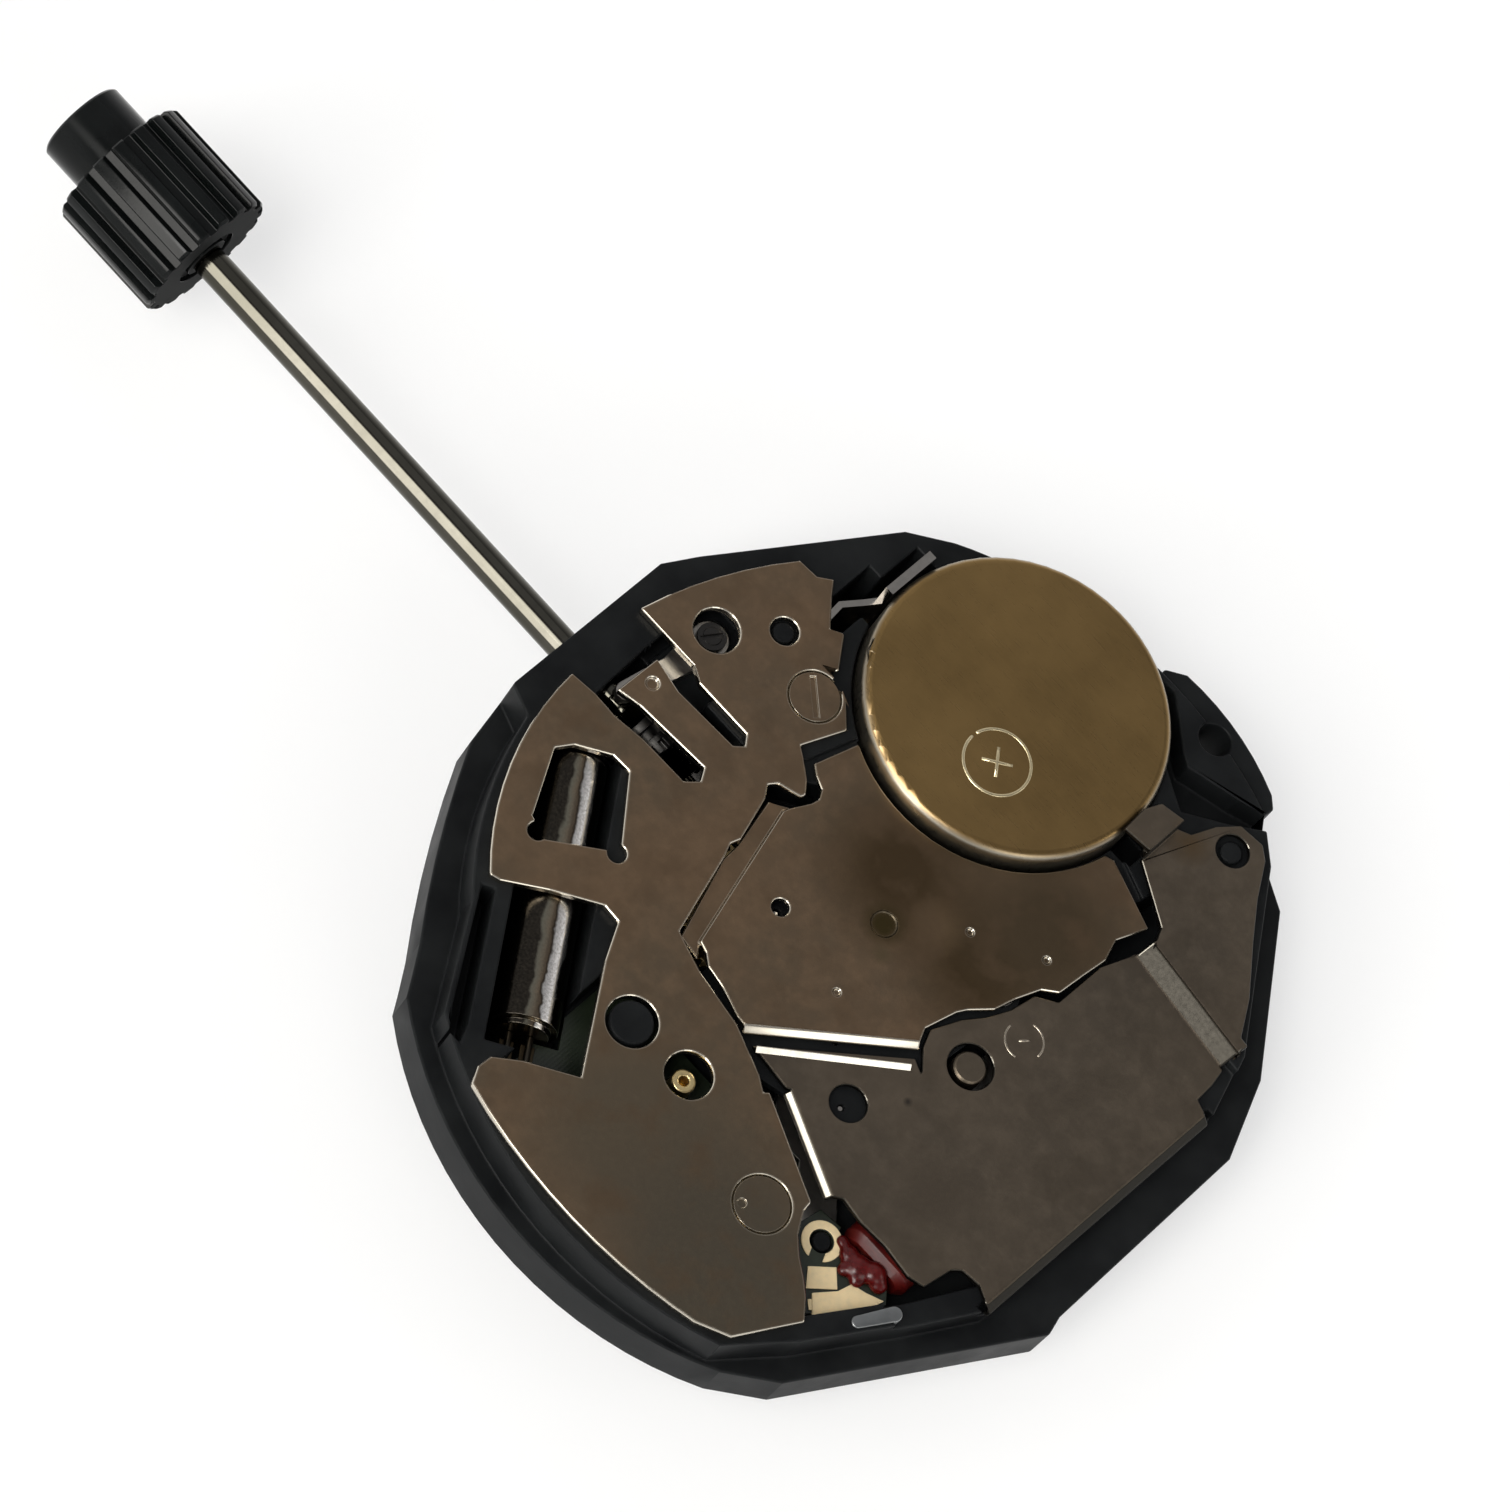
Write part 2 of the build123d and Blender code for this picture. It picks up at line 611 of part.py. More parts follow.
with BuildPart() as centre_wheel:
    with BuildSketch(Plane((0, 0, centre_wheel_z))):
        add(gear(centre_teeth, centre_module, gap_phase(centre_teeth, third_turn)))
        add(lightened(1.55, 0.65), mode=Mode.SUBTRACT)
        Circle(cannon_top_r, mode=Mode.SUBTRACT)
    extrude(amount=wheel_t)
save(centre_wheel, "centre_wheel")

cannon_low = minute_wheel_z - 0.02
with BuildPart() as cannon_pinion:
    with Locations((0, 0, -minute_reach)):
        Cylinder(minute_seat_r, minute_reach - hour_reach, align=BASE)
    with Locations((0, 0, -hour_reach)):
        Cylinder(cannon_r, hour_reach + cannon_low, align=BASE)
    with BuildSketch(Plane.XY.offset(cannon_low)):
        add(gear(cannon_leaves, minute_module, minute_turn))
    extrude(amount=motion_roof - run_gap - cannon_low)
    with Locations((0, 0, cannon_low)):
        Cylinder(cannon_top_r, centre_wheel_z + wheel_t - cannon_low, align=BASE)
    with Locations((0, 0, -minute_reach)):
        Cylinder(arbor_body_r + run_gap, 4, align=BASE, mode=Mode.SUBTRACT)
    with Locations((0, 0, -tube_reach - run_gap)):
        Cylinder(tube_r + run_gap, 4, align=BASE, mode=Mode.SUBTRACT)
save(cannon_pinion, "cannon_pinion")

minute_hub_r = 0.30
with BuildPart() as minute_wheel:
    with BuildSketch(Plane((minute_x, minute_y, minute_wheel_z))):
        add(gear(minute_teeth, minute_module, gap_phase(minute_teeth, minute_turn + 180)))
        add(lightened(1.55, 0.45), mode=Mode.SUBTRACT)
        Circle(minute_hub_r, mode=Mode.SUBTRACT)
    extrude(amount=motion_wheel_t)
save(minute_wheel, "minute_wheel")

with BuildPart() as minute_pinion:
    with BuildSketch(Plane((minute_x, minute_y, cover_t + run_gap))):
        add(gear(minute_leaves, hour_module, minute_turn + 180))
    extrude(amount=minute_wheel_z - cover_t - run_gap)
    with Locations((minute_x, minute_y, minute_wheel_z)):
        Cylinder(minute_hub_r, motion_wheel_t, align=BASE)
    with Locations((minute_x, minute_y, 0)):
        Cylinder(setting_r, 1, align=BASE, mode=Mode.SUBTRACT)
save(minute_pinion, "minute_pinion")

with BuildPart() as hour_wheel:
    with BuildSketch(Plane.XY.offset(hour_wheel_z)):
        add(gear(hour_teeth, hour_module, gap_phase(hour_teeth, minute_turn)))
        add(lightened(1.70, 1.05), mode=Mode.SUBTRACT)
    extrude(amount=motion_wheel_t)
    with Locations((0, 0, -shoulder_reach)):
        Cylinder(shoulder_r, shoulder_reach + hour_wheel_z, align=BASE)
    with Locations((0, 0, 0.02 - hour_reach)):
        Cylinder(hour_seat_r, hour_reach - 0.02, align=BASE)
        Cylinder(cannon_r + run_gap, 3, align=BASE, mode=Mode.SUBTRACT)
save(hour_wheel, "hour_wheel")

# The setting wheel stays in mesh with the minute wheel, so its phase follows that wheel's teeth.

setting_turn = bearing(minute_x, minute_y, setting_x, 0)
minute_pitch = 360 / minute_teeth
minute_offset = ((setting_turn - gap_phase(minute_teeth, minute_turn + 180)) % minute_pitch) / minute_pitch
setting_phase = setting_turn + 180 + (minute_offset + 0.5) * 360 / setting_teeth
setting_top = stem_z - 0.42

with BuildPart() as setting_wheel:
    with BuildSketch(Plane((setting_x, 0, cover_t + 0.20))):
        add(gear(setting_teeth, minute_module, setting_phase))
        Circle(setting_r, mode=Mode.SUBTRACT)
    extrude(amount=setting_top - cover_t - 0.20)
save(setting_wheel, "setting_wheel")

# The pin stands in the dial-side cover and carries the setting wheel.

with BuildPart() as setting_wheel_pin:
    with Locations((setting_x, 0, cover_t)):
        Cylinder(setting_r - run_gap, setting_top - cover_t, align=BASE)
        Cylinder(0.30, 0.17, align=BASE)
save(setting_wheel_pin, "setting_wheel_pin")

# Train wheel bridge and its screws


def hull_of_pads(pads):
    """Outline round a set of round pads, each given by its centre and radius."""
    with BuildSketch() as outline:
        for x, y, radius in pads:
            with Locations((x, y)):
                Circle(radius)
        make_hull()
    return outline.sketch


with BuildPart() as train_wheel_bridge:
    with BuildSketch(Plane.XY.offset(bridge_z)):
        add(hull_of_pads([(2.35, -1.72, 0.42), (third_x, third_y, 0.45), (-2.45, -1.65, 0.42), (0, 0, 0.5)]))
        add(hull_of_pads([(third_x, third_y, 0.45), (1.30, 3.80, 0.38), (rotor_x, rotor_y, 0.45), (0, 0, 0.5)]))
        add(hull_of_pads([(rotor_x, rotor_y, 0.45), (-2.45, -1.65, 0.42), (0, 0, 0.5)]))
        with Locations((0, 0), (fifth_x, fifth_y), (rotor_x, rotor_y), (third_x, third_y)):
            Circle(pivot_r + run_gap, mode=Mode.SUBTRACT)
        with Locations(*bridge_posts):
            Circle(0.15, mode=Mode.SUBTRACT)
    extrude(amount=bridge_t)
save(train_wheel_bridge, "train_wheel_bridge")

with BuildPart() as bridge_screws:
    for x, y in bridge_posts:
        with Locations((x, y, bridge_z - 0.40)):
            Cylinder(0.12, 0.40 + bridge_t, align=BASE)
        with Locations((x, y, bridge_z + bridge_t)):
            Cylinder(0.28, 0.10, align=BASE)
        with BuildSketch(Plane((x, y, bridge_z + bridge_t + 0.05))):
            Rectangle(0.70, 0.08, rotation=20)
        extrude(amount=0.1, mode=Mode.SUBTRACT)
save(bridge_screws, "bridge_screws")

# Stepping motor: stator, core and winding

with BuildPart() as stator:
    with BuildSketch(Plane.XY.offset(magnet_z)):
        with Locations((rotor_x, rotor_y)):
            Circle(stator_ring_r)
        add(hull_of_pads([(core_post_x, core_post_y, 0.42), (-2.60, 3.75, 0.42)]))
        add(hull_of_pads([(-2.75, 2.20, 0.30), (-3.30, 1.40, 0.25)]))
        add(hull_of_pads([(-3.30, 1.40, 0.25), (-3.45, -2.60, 0.25)]))
        add(hull_of_pads([(-3.45, -2.60, 0.25), (far_post_x, far_post_y, 0.42)]))
        with Locations((rotor_x, rotor_y)):
            Circle(stator_bore_r, mode=Mode.SUBTRACT)
            with PolarLocations(stator_ring_r, 2, start_angle=10, angular_range=360):
                Circle(0.22, mode=Mode.SUBTRACT)
        with Locations((core_post_x, core_post_y), (far_post_x, far_post_y)):
            Circle(core_post_r + 0.04, mode=Mode.SUBTRACT)
    extrude(amount=stator_t)
save(stator, "stator")

with BuildPart() as coil_core:
    with BuildSketch(Plane.XY.offset(core_z)):
        with Locations((coil_x, (coil_y0 + coil_y1) / 2)):
            Rectangle(2 * core_half_w, coil_y1 - coil_y0 + 0.90)
        add(hull_of_pads([(core_post_x, core_post_y, 0.42), (coil_x, coil_y1 + 0.45, 0.35)]))
        add(hull_of_pads([(far_post_x, far_post_y, 0.42), (coil_x, coil_y0 - 0.45, 0.35)]))
        with Locations((core_post_x, core_post_y), (far_post_x, far_post_y)):
            Circle(core_post_r + 0.04, mode=Mode.SUBTRACT)
    extrude(amount=core_t)
save(coil_core, "coil_core")

coil_mid_z = (coil_low_z + coil_high_z) / 2
coil_half_h = (coil_high_z - coil_low_z) / 2
with BuildPart() as coil_winding:
    with BuildSketch(Plane(origin=(coil_x, coil_y0, coil_mid_z), x_dir=(1, 0, 0), z_dir=(0, 1, 0))):
        RectangleRounded(2 * coil_half_w, 2 * coil_half_h, 0.40)
        with Locations((0, coil_mid_z - core_z - core_t / 2)):
            Rectangle(2 * core_half_w, core_t, mode=Mode.SUBTRACT)
    extrude(amount=coil_y1 - coil_y0)
    chamfer(coil_winding.faces().sort_by(Axis.Y)[-1].outer_wire().edges(), 0.16)
    chamfer(coil_winding.faces().sort_by(Axis.Y)[0].outer_wire().edges(), 0.16)
save(coil_winding, "coil_winding")

# Circuit board with its chip, gold pads and crystal, and the coil's terminals

with BuildPart() as circuit_board:
    with BuildSketch(Plane.XY.offset(board_z)):
        add(board_shelf())
        offset(amount=-0.10)
        with Locations((stud_x, stud_y)):
            Circle(stud_r + 0.06, mode=Mode.SUBTRACT)
        with Locations((flat_screw_x, flat_screw_y)):
            Circle(0.56, mode=Mode.SUBTRACT)
        with Locations((bush_x, bush_y)):
            Circle(0.33, mode=Mode.SUBTRACT)
    extrude(amount=board_t)
    with BuildSketch(crystal_plane(board_z)):
        with Locations((can_length / 2, 0)):
            Rectangle(can_length + 0.36, 2 * (can_r + can_gap))
    extrude(amount=1, mode=Mode.SUBTRACT)
save(circuit_board, "circuit_board")

with BuildPart() as chip_blob:
    with BuildSketch(Plane((-0.80, 7.05, board_z + board_t))):
        RectangleRounded(1.90, 1.50, 0.35)
    extrude(amount=0.45, taper=28)
save(chip_blob, "chip_blob")

pad_t = 0.03
with BuildPart() as gold_pads:
    with BuildSketch(Plane.XY.offset(board_z + board_t)):
        with Locations((-4.05, 5.85)):
            Rectangle(0.75, 0.45, rotation=-15)
        with Locations((-4.35, 6.45)):
            Rectangle(0.55, 0.40, rotation=-15)
        with Locations((0.60, 7.90), (-2.20, 7.40)):
            Circle(0.22)
    extrude(amount=pad_t)
    # pads under the crystal's leads
    with BuildSketch(crystal_plane(board_z + board_t)):
        with Locations(*[(can_length + can_plug_t + lead_length / 2 + 0.10, side) for side in (-lead_side, lead_side)]):
            Rectangle(lead_length - 0.10, 0.30)
    extrude(amount=pad_t)
save(gold_pads, "gold_pads")

with BuildPart() as crystal_can:
    axis_turn = radians(can_turn)
    with BuildSketch(
        Plane(origin=(can_x, can_y, can_z), x_dir=(0, 0, 1), z_dir=(cos(axis_turn), sin(axis_turn), 0))
    ):
        Circle(can_r)
    extrude(amount=can_length)
    fillet(crystal_can.faces().group_by(Axis.Y)[0].edges(), 0.14)
    with BuildSketch(
        Plane(
            origin=(can_x + can_length * cos(axis_turn), can_y + can_length * sin(axis_turn), can_z),
            x_dir=(0, 0, 1),
            z_dir=(cos(axis_turn), sin(axis_turn), 0),
        )
    ):
        Circle(can_r - 0.16)
    extrude(amount=can_plug_t)
save(crystal_can, "crystal_can")

with BuildPart() as crystal_leads:
    end_x = can_x + (can_length + can_plug_t) * cos(axis_turn)
    end_y = can_y + (can_length + can_plug_t) * sin(axis_turn)
    for side in (-lead_side, lead_side):
        start = Vector(end_x - side * sin(axis_turn), end_y + side * cos(axis_turn), can_z)
        with BuildSketch(Plane(origin=start, z_dir=(cos(axis_turn), sin(axis_turn), 0))):
            Circle(can_z - board_z - board_t - pad_t)
        extrude(amount=lead_length)
save(crystal_leads, "crystal_leads")

# The coil's ends are joined on a small terminal board round the core's post.

terminal_z = core_z + core_t
terminal_t = 0.09
with BuildPart() as terminal_board:
    with BuildSketch(Plane.XY.offset(terminal_z)):
        Polygon(
            (-3.15, 5.10), (-3.25, 4.48), (-3.80, 4.40), (-3.82, 4.56), (-5.30, 4.56), (-5.55, 4.85), (-4.60, 6.30),
            (-4.10, 6.10), align=None
        )
        with Locations((core_post_x, core_post_y)):
            Circle(core_post_r + 0.04, mode=Mode.SUBTRACT)
    extrude(amount=terminal_t)
save(terminal_board, "terminal_board")

with BuildPart() as coil_terminals:
    with BuildSketch(Plane.XY.offset(terminal_z + terminal_t)):
        with Locations((core_post_x, core_post_y)):
            Circle(0.44)
            Circle(core_post_r + 0.06, mode=Mode.SUBTRACT)
            with Locations((-0.20, 0.42)):
                Rectangle(0.30, 0.60, rotation=25, mode=Mode.SUBTRACT)
        Polygon((-3.92, 5.55), (-4.32, 5.10), (-4.66, 5.42), (-4.22, 5.92), align=None)
        Polygon((-4.40, 6.05), (-5.28, 4.90), (-5.46, 5.02), (-4.58, 6.20), align=None)
    extrude(amount=pad_t)
save(coil_terminals, "coil_terminals")

with BuildPart() as brass_bush:
    with Locations((bush_x, bush_y, 0.62)):
        Cylinder(0.26, 1.33, align=BASE)
    with Locations((bush_x, bush_y, 1.40)):
        Cylinder(0.10, 1.00, align=BASE, mode=Mode.SUBTRACT)
    chamfer(brass_bush.faces().sort_by(Axis.Z)[-1].edges(), 0.03)
save(brass_bush, "brass_bush")

# Battery, its film and its contacts

with BuildPart() as insulating_film:
    with BuildSketch(Plane((cell_x, cell_y, cell_floor))):
        Circle(cell_r - 0.10)
        with Locations((0, 0.60)):
            Rectangle(0.95, 3.60, mode=Mode.SUBTRACT)
    extrude(amount=film_t)
save(insulating_film, "insulating_film")

with BuildPart() as negative_contact:
    with BuildSketch(Plane((cell_x, cell_y + 0.60, cell_floor))):
        Rectangle(0.80, 3.40)
        with Locations((0, -1.20)):
            Circle(0.55)
    extrude(amount=cell_z - cell_floor)
save(negative_contact, "negative_contact")

with BuildPart() as battery_can:
    with Locations((cell_x, cell_y, cell_z + cell_cap_h)):
        Cylinder(cell_r, cell_h - cell_cap_h, align=BASE)
    fillet(battery_can.faces().sort_by(Axis.Z)[-1].edges(), cell_round)
    with Locations((cell_x, cell_y, cell_z)):
        Cylinder(cell_r - 0.28, cell_cap_h, align=BASE)
    chamfer(battery_can.edges().filter_by(GeomType.CIRCLE).group_by(Axis.Z)[1], 0.12)
    with Locations((cell_x, cell_y, cell_z)):
        Cylinder(cell_cap_r + gasket_t, cell_cap_h, align=BASE, mode=Mode.SUBTRACT)
save(battery_can, "battery_can")

with BuildPart() as battery_gasket:
    with Locations((cell_x, cell_y, cell_z + 0.05)):
        Cylinder(cell_cap_r + gasket_t, cell_cap_h - 0.05, align=BASE)
    with Locations((cell_x, cell_y, cell_z)):
        Cylinder(cell_cap_r, 1, align=BASE, mode=Mode.SUBTRACT)
save(battery_gasket, "battery_gasket")

with BuildPart() as battery_cap:
    with Locations((cell_x, cell_y, cell_z)):
        Cylinder(cell_cap_r, cell_cap_h, align=BASE)
    fillet(battery_cap.faces().sort_by(Axis.Z)[0].edges(), 0.12)
save(battery_cap, "battery_cap")

contact_x = cell_x + cell_r + 0.03  # inner face of the contact spring
with BuildPart() as positive_contact:
    with BuildSketch(Plane.XY.offset(cell_floor)):
        with BuildLine():
            spring = Polyline(
                (contact_x + 0.07, -7.08), (contact_x + 0.09, -5.80), (5.46, -5.42), (5.74, -4.98), (5.66, -4.20)
            )
            offset(spring, amount=clip_t / 2, side=Side.BOTH)
        make_face()
    extrude(amount=left_seat - 0.03 - cell_floor)
    with BuildSketch(Plane.XY.offset(left_seat - 0.10)):
        Polygon(
            (contact_x, -7.08), (contact_x, -5.72), (contact_x + 0.20, -5.72), (contact_x + 0.20, -7.08), align=None
        )
    extrude(amount=cell_top + 0.05 - left_seat + 0.10)
save(positive_contact, "positive_contact")

# Back plates


def left_plate_outline():
    """Left back plate: rim arcs, release tongue, crystal notch and battery side."""
    with BuildSketch() as outline:
        with BuildLine():
            Polyline((7.52, 0.76), (8.14, 0.84))
            ThreePointArc((8.14, 0.84), (7.45, 3.38), (6.05, 5.28))
            Polyline((6.05, 5.28), (5.83, 5.20), (5.04, 4.53), (4.10, 3.86), (3.68, 3.88), (3.26, 4.68), (1.81, 6.80))
            Polyline((1.81, 6.80), (2.81, 7.50), (3.28, 7.95), (3.30, 8.30), (3.11, 8.66))
            ThreePointArc((3.11, 8.66), (0.20, 9.02), (-2.80, 8.68))
            Polyline((-2.80, 8.68), (-3.28, 8.56), (-3.97, 8.20), (-4.72, 6.80), (-4.40, 6.43), (-4.07, 6.16))
            Polyline((-4.07, 6.16), (-3.69, 5.91), (-3.35, 5.60), (-3.08, 5.16), (-3.05, 4.92), (-0.87, 3.95))
            Polyline((-0.87, 3.95), (-0.79, 4.05), (-0.48, 3.86), (0.60, 3.46), (1.85, 3.28), (2.48, 3.09))
            Polyline((2.48, 3.09), (2.74, 3.00), (3.29, 1.12), (3.42, 0.81), (3.35, 0.57), (3.66, -0.48))
            Polyline((3.66, -0.48), (3.84, -0.74), (3.72, -0.93), (3.50, -1.00), (3.22, -1.10), (3.18, -1.22))
            Polyline((3.18, -1.22), (3.40, -1.48), (3.80, -1.78), (4.02, -1.92), (3.64, -2.95), (4.13, -3.42))
            Polyline((4.13, -3.42), (4.85, -3.57), (4.68, -3.75), (5.19, -4.44), (5.45, -4.28), (5.97, -4.86))
            Polyline((5.97, -4.86), (6.20, -5.15), (6.48, -4.90), (6.96, -4.86))
            ThreePointArc((6.96, -4.86), (7.82, -3.05), (8.28, -1.33))
            Polyline((8.28, -1.33), (6.67, -1.34), (6.30, -1.15), (4.91, -1.16), (4.75, -0.95), (4.91, -0.76))
            Polyline((4.91, -0.76), (6.52, -0.68), (7.26, -0.82), (7.28, 0.34), (6.70, 0.20), (4.94, 0.08))
            Polyline((4.94, 0.08), (4.78, 0.35), (5.00, 0.63), (6.19, 0.66), (6.95, 0.78), (7.52, 0.76))
        make_face()
    return outline.sketch


def crystal_window():
    """Opening over the crystal, with a round relief at two of its corners."""
    with BuildSketch() as window:
        Polygon((7.18, 2.28), (6.98, 1.92), (6.30, 1.42), (5.86, 1.40), (4.72, 2.78), (5.90, 3.84), (6.40, 3.70), align=None)
        with Locations((4.74, 2.86), (6.12, 3.84)):
            Circle(0.20)
    return window.sketch


with BuildPart() as left_back_plate:
    with BuildSketch(Plane.XY.offset(left_seat)):
        add(left_plate_outline())
        add(crystal_window(), mode=Mode.SUBTRACT)
        with Locations((lever_x, lever_y)):
            Circle(0.50, mode=Mode.SUBTRACT)
        with Locations((small_stud_x, small_stud_y)):
            Circle(0.31, mode=Mode.SUBTRACT)
        with Locations((stud_x, stud_y)):
            Circle(0.55, mode=Mode.SUBTRACT)
        with Locations((bush_x, bush_y)):
            Circle(0.51, mode=Mode.SUBTRACT)
        with Locations((slot_screw_x, slot_screw_y)):
            Circle(0.20, mode=Mode.SUBTRACT)
        with Locations((flat_screw_x, flat_screw_y)):
            Circle(0.20, mode=Mode.SUBTRACT)
    extrude(amount=sheet_t)
    # sunk seats for the two screws, and the release point on the tongue
    with BuildSketch(Plane.XY.offset(left_top - 0.12)):
        with Locations((slot_screw_x, slot_screw_y)):
            Circle(0.58)
        with Locations((flat_screw_x, flat_screw_y)):
            Circle(0.62)
    extrude(amount=0.2, mode=Mode.SUBTRACT)
    with Locations((6.93, -0.36, left_top - 0.07)):
        Cylinder(0.14, 0.2, align=BASE, mode=Mode.SUBTRACT)
save(left_back_plate, "left_back_plate")

with BuildPart() as plate_screws:
    for x, y, head in ((slot_screw_x, slot_screw_y, 0.55), (flat_screw_x, flat_screw_y, 0.59)):
        with Locations((x, y, 1.05)):
            Cylinder(0.18, left_top - 0.12 - 1.05, align=BASE)
        with Locations((x, y, left_top - 0.12)):
            Cylinder(head, 0.10, align=BASE)
    with BuildSketch(Plane((slot_screw_x, slot_screw_y, left_top - 0.08))):
        Rectangle(0.92, 0.13, rotation=-40)
    extrude(amount=0.2, mode=Mode.SUBTRACT)
    with Locations((flat_screw_x + 0.28, flat_screw_y + 0.30, left_top - 0.07)):
        Cylinder(0.10, 0.2, align=BASE, mode=Mode.SUBTRACT)
save(plate_screws, "plate_screws")


def edge_plane(x0, y0, x1, y1):
    """Upright plane across a plate's edge, at its first end, with x pointing out and y up."""
    run = hypot(x1 - x0, y1 - y0)
    return Plane(
        origin=(x0, y0, 0), x_dir=((y0 - y1) / run, (x1 - x0) / run, 0), z_dir=((x1 - x0) / run, (y1 - y0) / run, 0)
    )


def centre_plate_outline():
    """Centre plate, with a round bite beside the battery."""
    with BuildSketch() as outline:
        with BuildLine():
            Polyline((3.20, -0.84), (3.25, -0.69), (2.33, 2.74), (2.07, 2.82), (1.84, 2.99), (1.33, 3.07))
            Polyline((1.33, 3.07), (0.70, 3.27), (0.50, 3.28), (-2.09, 0.59), (-1.96, 0.30), (-2.14, -0.47))
            Polyline((-2.14, -0.47), (-2.25, -0.69), (-2.60, -1.15), (-2.72, -1.65), (-2.93, -2.25), (-3.23, -2.53))
            Polyline((-3.23, -2.53), (-3.29, -3.22), (-3.36, -3.85), (-3.20, -4.35), (-3.47, -5.09), (-1.95, -5.60))
            Polyline((-1.95, -5.60), (-1.40, -5.40), (1.72, -3.60), (3.05, -3.00), (3.30, -3.00), (3.58, -1.94))
            Polyline((3.58, -1.94), (3.36, -1.78), (3.08, -1.66), (2.96, -1.46), (3.00, -1.26), (3.20, -0.84))
        make_face()
        with Locations((cell_x, cell_y)):
            Circle(cell_r + plate_bite_gap, mode=Mode.SUBTRACT)
    return outline.sketch


plate_bite_gap = 0.12
ledge_t = 0.06
fold_out = 0.15  # width of the sloping folded edges
with BuildPart() as centre_plate:
    with BuildSketch(Plane.XY.offset(centre_top - thin_sheet_t)):
        add(centre_plate_outline())
        with Locations((third_x, third_y)):
            Circle(0.19, mode=Mode.SUBTRACT)
    extrude(amount=thin_sheet_t)
    # thin ledge beside the left back plate
    with BuildSketch(Plane.XY.offset(centre_top - thin_sheet_t)):
        Polygon(
            (3.20, -0.84), (3.60, -0.60), (3.32, 0.60), (3.30, 1.05), (2.66, 2.96), (2.10, 3.02), (2.33, 2.70),
            (3.20, -0.60), align=None
        )
    extrude(amount=ledge_t)
    # edge folded down towards the right back plate
    with BuildSketch(edge_plane(-2.09, 0.59, 0.50, 3.28)):
        Polygon(
            (-0.02, centre_top), (0, centre_top), (fold_out, right_top + 0.02), (fold_out, right_top),
            (-0.02, right_top), align=None
        )
    extrude(amount=hypot(2.59, 2.69))
    with Locations(*[(x, y, centre_top - 0.05) for x, y in ((-1.10, -1.95), (-0.24, 1.24), (-2.56, -2.82))]):
        Cylinder(0.08, 0.2, align=BASE, mode=Mode.SUBTRACT)
    with Locations((0.17, -0.61, centre_top - 0.03)):
        Cylinder(0.28, 0.2, align=BASE, mode=Mode.SUBTRACT)
save(centre_plate, "centre_plate")


def right_plate_lower():
    """Lower field of the right back plate."""
    with BuildSketch() as outline:
        with BuildLine():
            Polyline((0.08, 3.38), (-1.02, 3.47), (-1.10, 3.40), (-3.24, 4.33), (-3.42, 4.19), (-3.99, 4.26))
            Polyline((-3.99, 4.26), (-4.66, 4.22), (-5.42, 4.30), (-5.78, 4.20), (-5.90, 3.50), (-6.05, 3.32))
            Polyline((-6.05, 3.32), (-6.50, 3.26), (-6.85, 3.42))
            Polyline((-6.85, 3.42), (-7.02, -3.20), (-6.72, -3.30), (-6.70, -3.78), (-6.62, -4.20), (-3.70, -4.55))
            Polyline((-3.70, -4.55), (-3.38, -3.69), (-3.35, -2.45), (-2.92, -2.14), (-2.82, -1.51), (-2.60, -0.98))
            Polyline((-2.60, -0.98), (-2.30, -0.51), (-2.03, 0.16), (-2.20, 0.56), (-2.56, 0.95), (-2.62, 1.70))
            Polyline((-2.62, 1.70), (-2.70, 1.70), (-2.72, 1.05), (-2.28, 0.86), (0.08, 3.38))
        make_face()
    return outline.sketch


def right_plate_upper():
    """Raised field of the right back plate, beside the battery."""
    with BuildSketch() as outline:
        with BuildLine():
            Polyline((-6.58, -4.55), (-5.93, -5.62), (-5.08, -6.66), (-4.53, -7.38), (-4.05, -8.15), (-3.75, -8.38))
            Polyline((-3.75, -8.38), (-3.15, -8.31), (-2.82, -7.85), (-2.60, -7.28), (-2.32, -7.13), (-2.30, -6.00))
            Polyline((-2.30, -6.00), (-3.62, -5.25), (-3.80, -4.85), (-6.58, -4.55))
        make_face()
    return outline.sketch


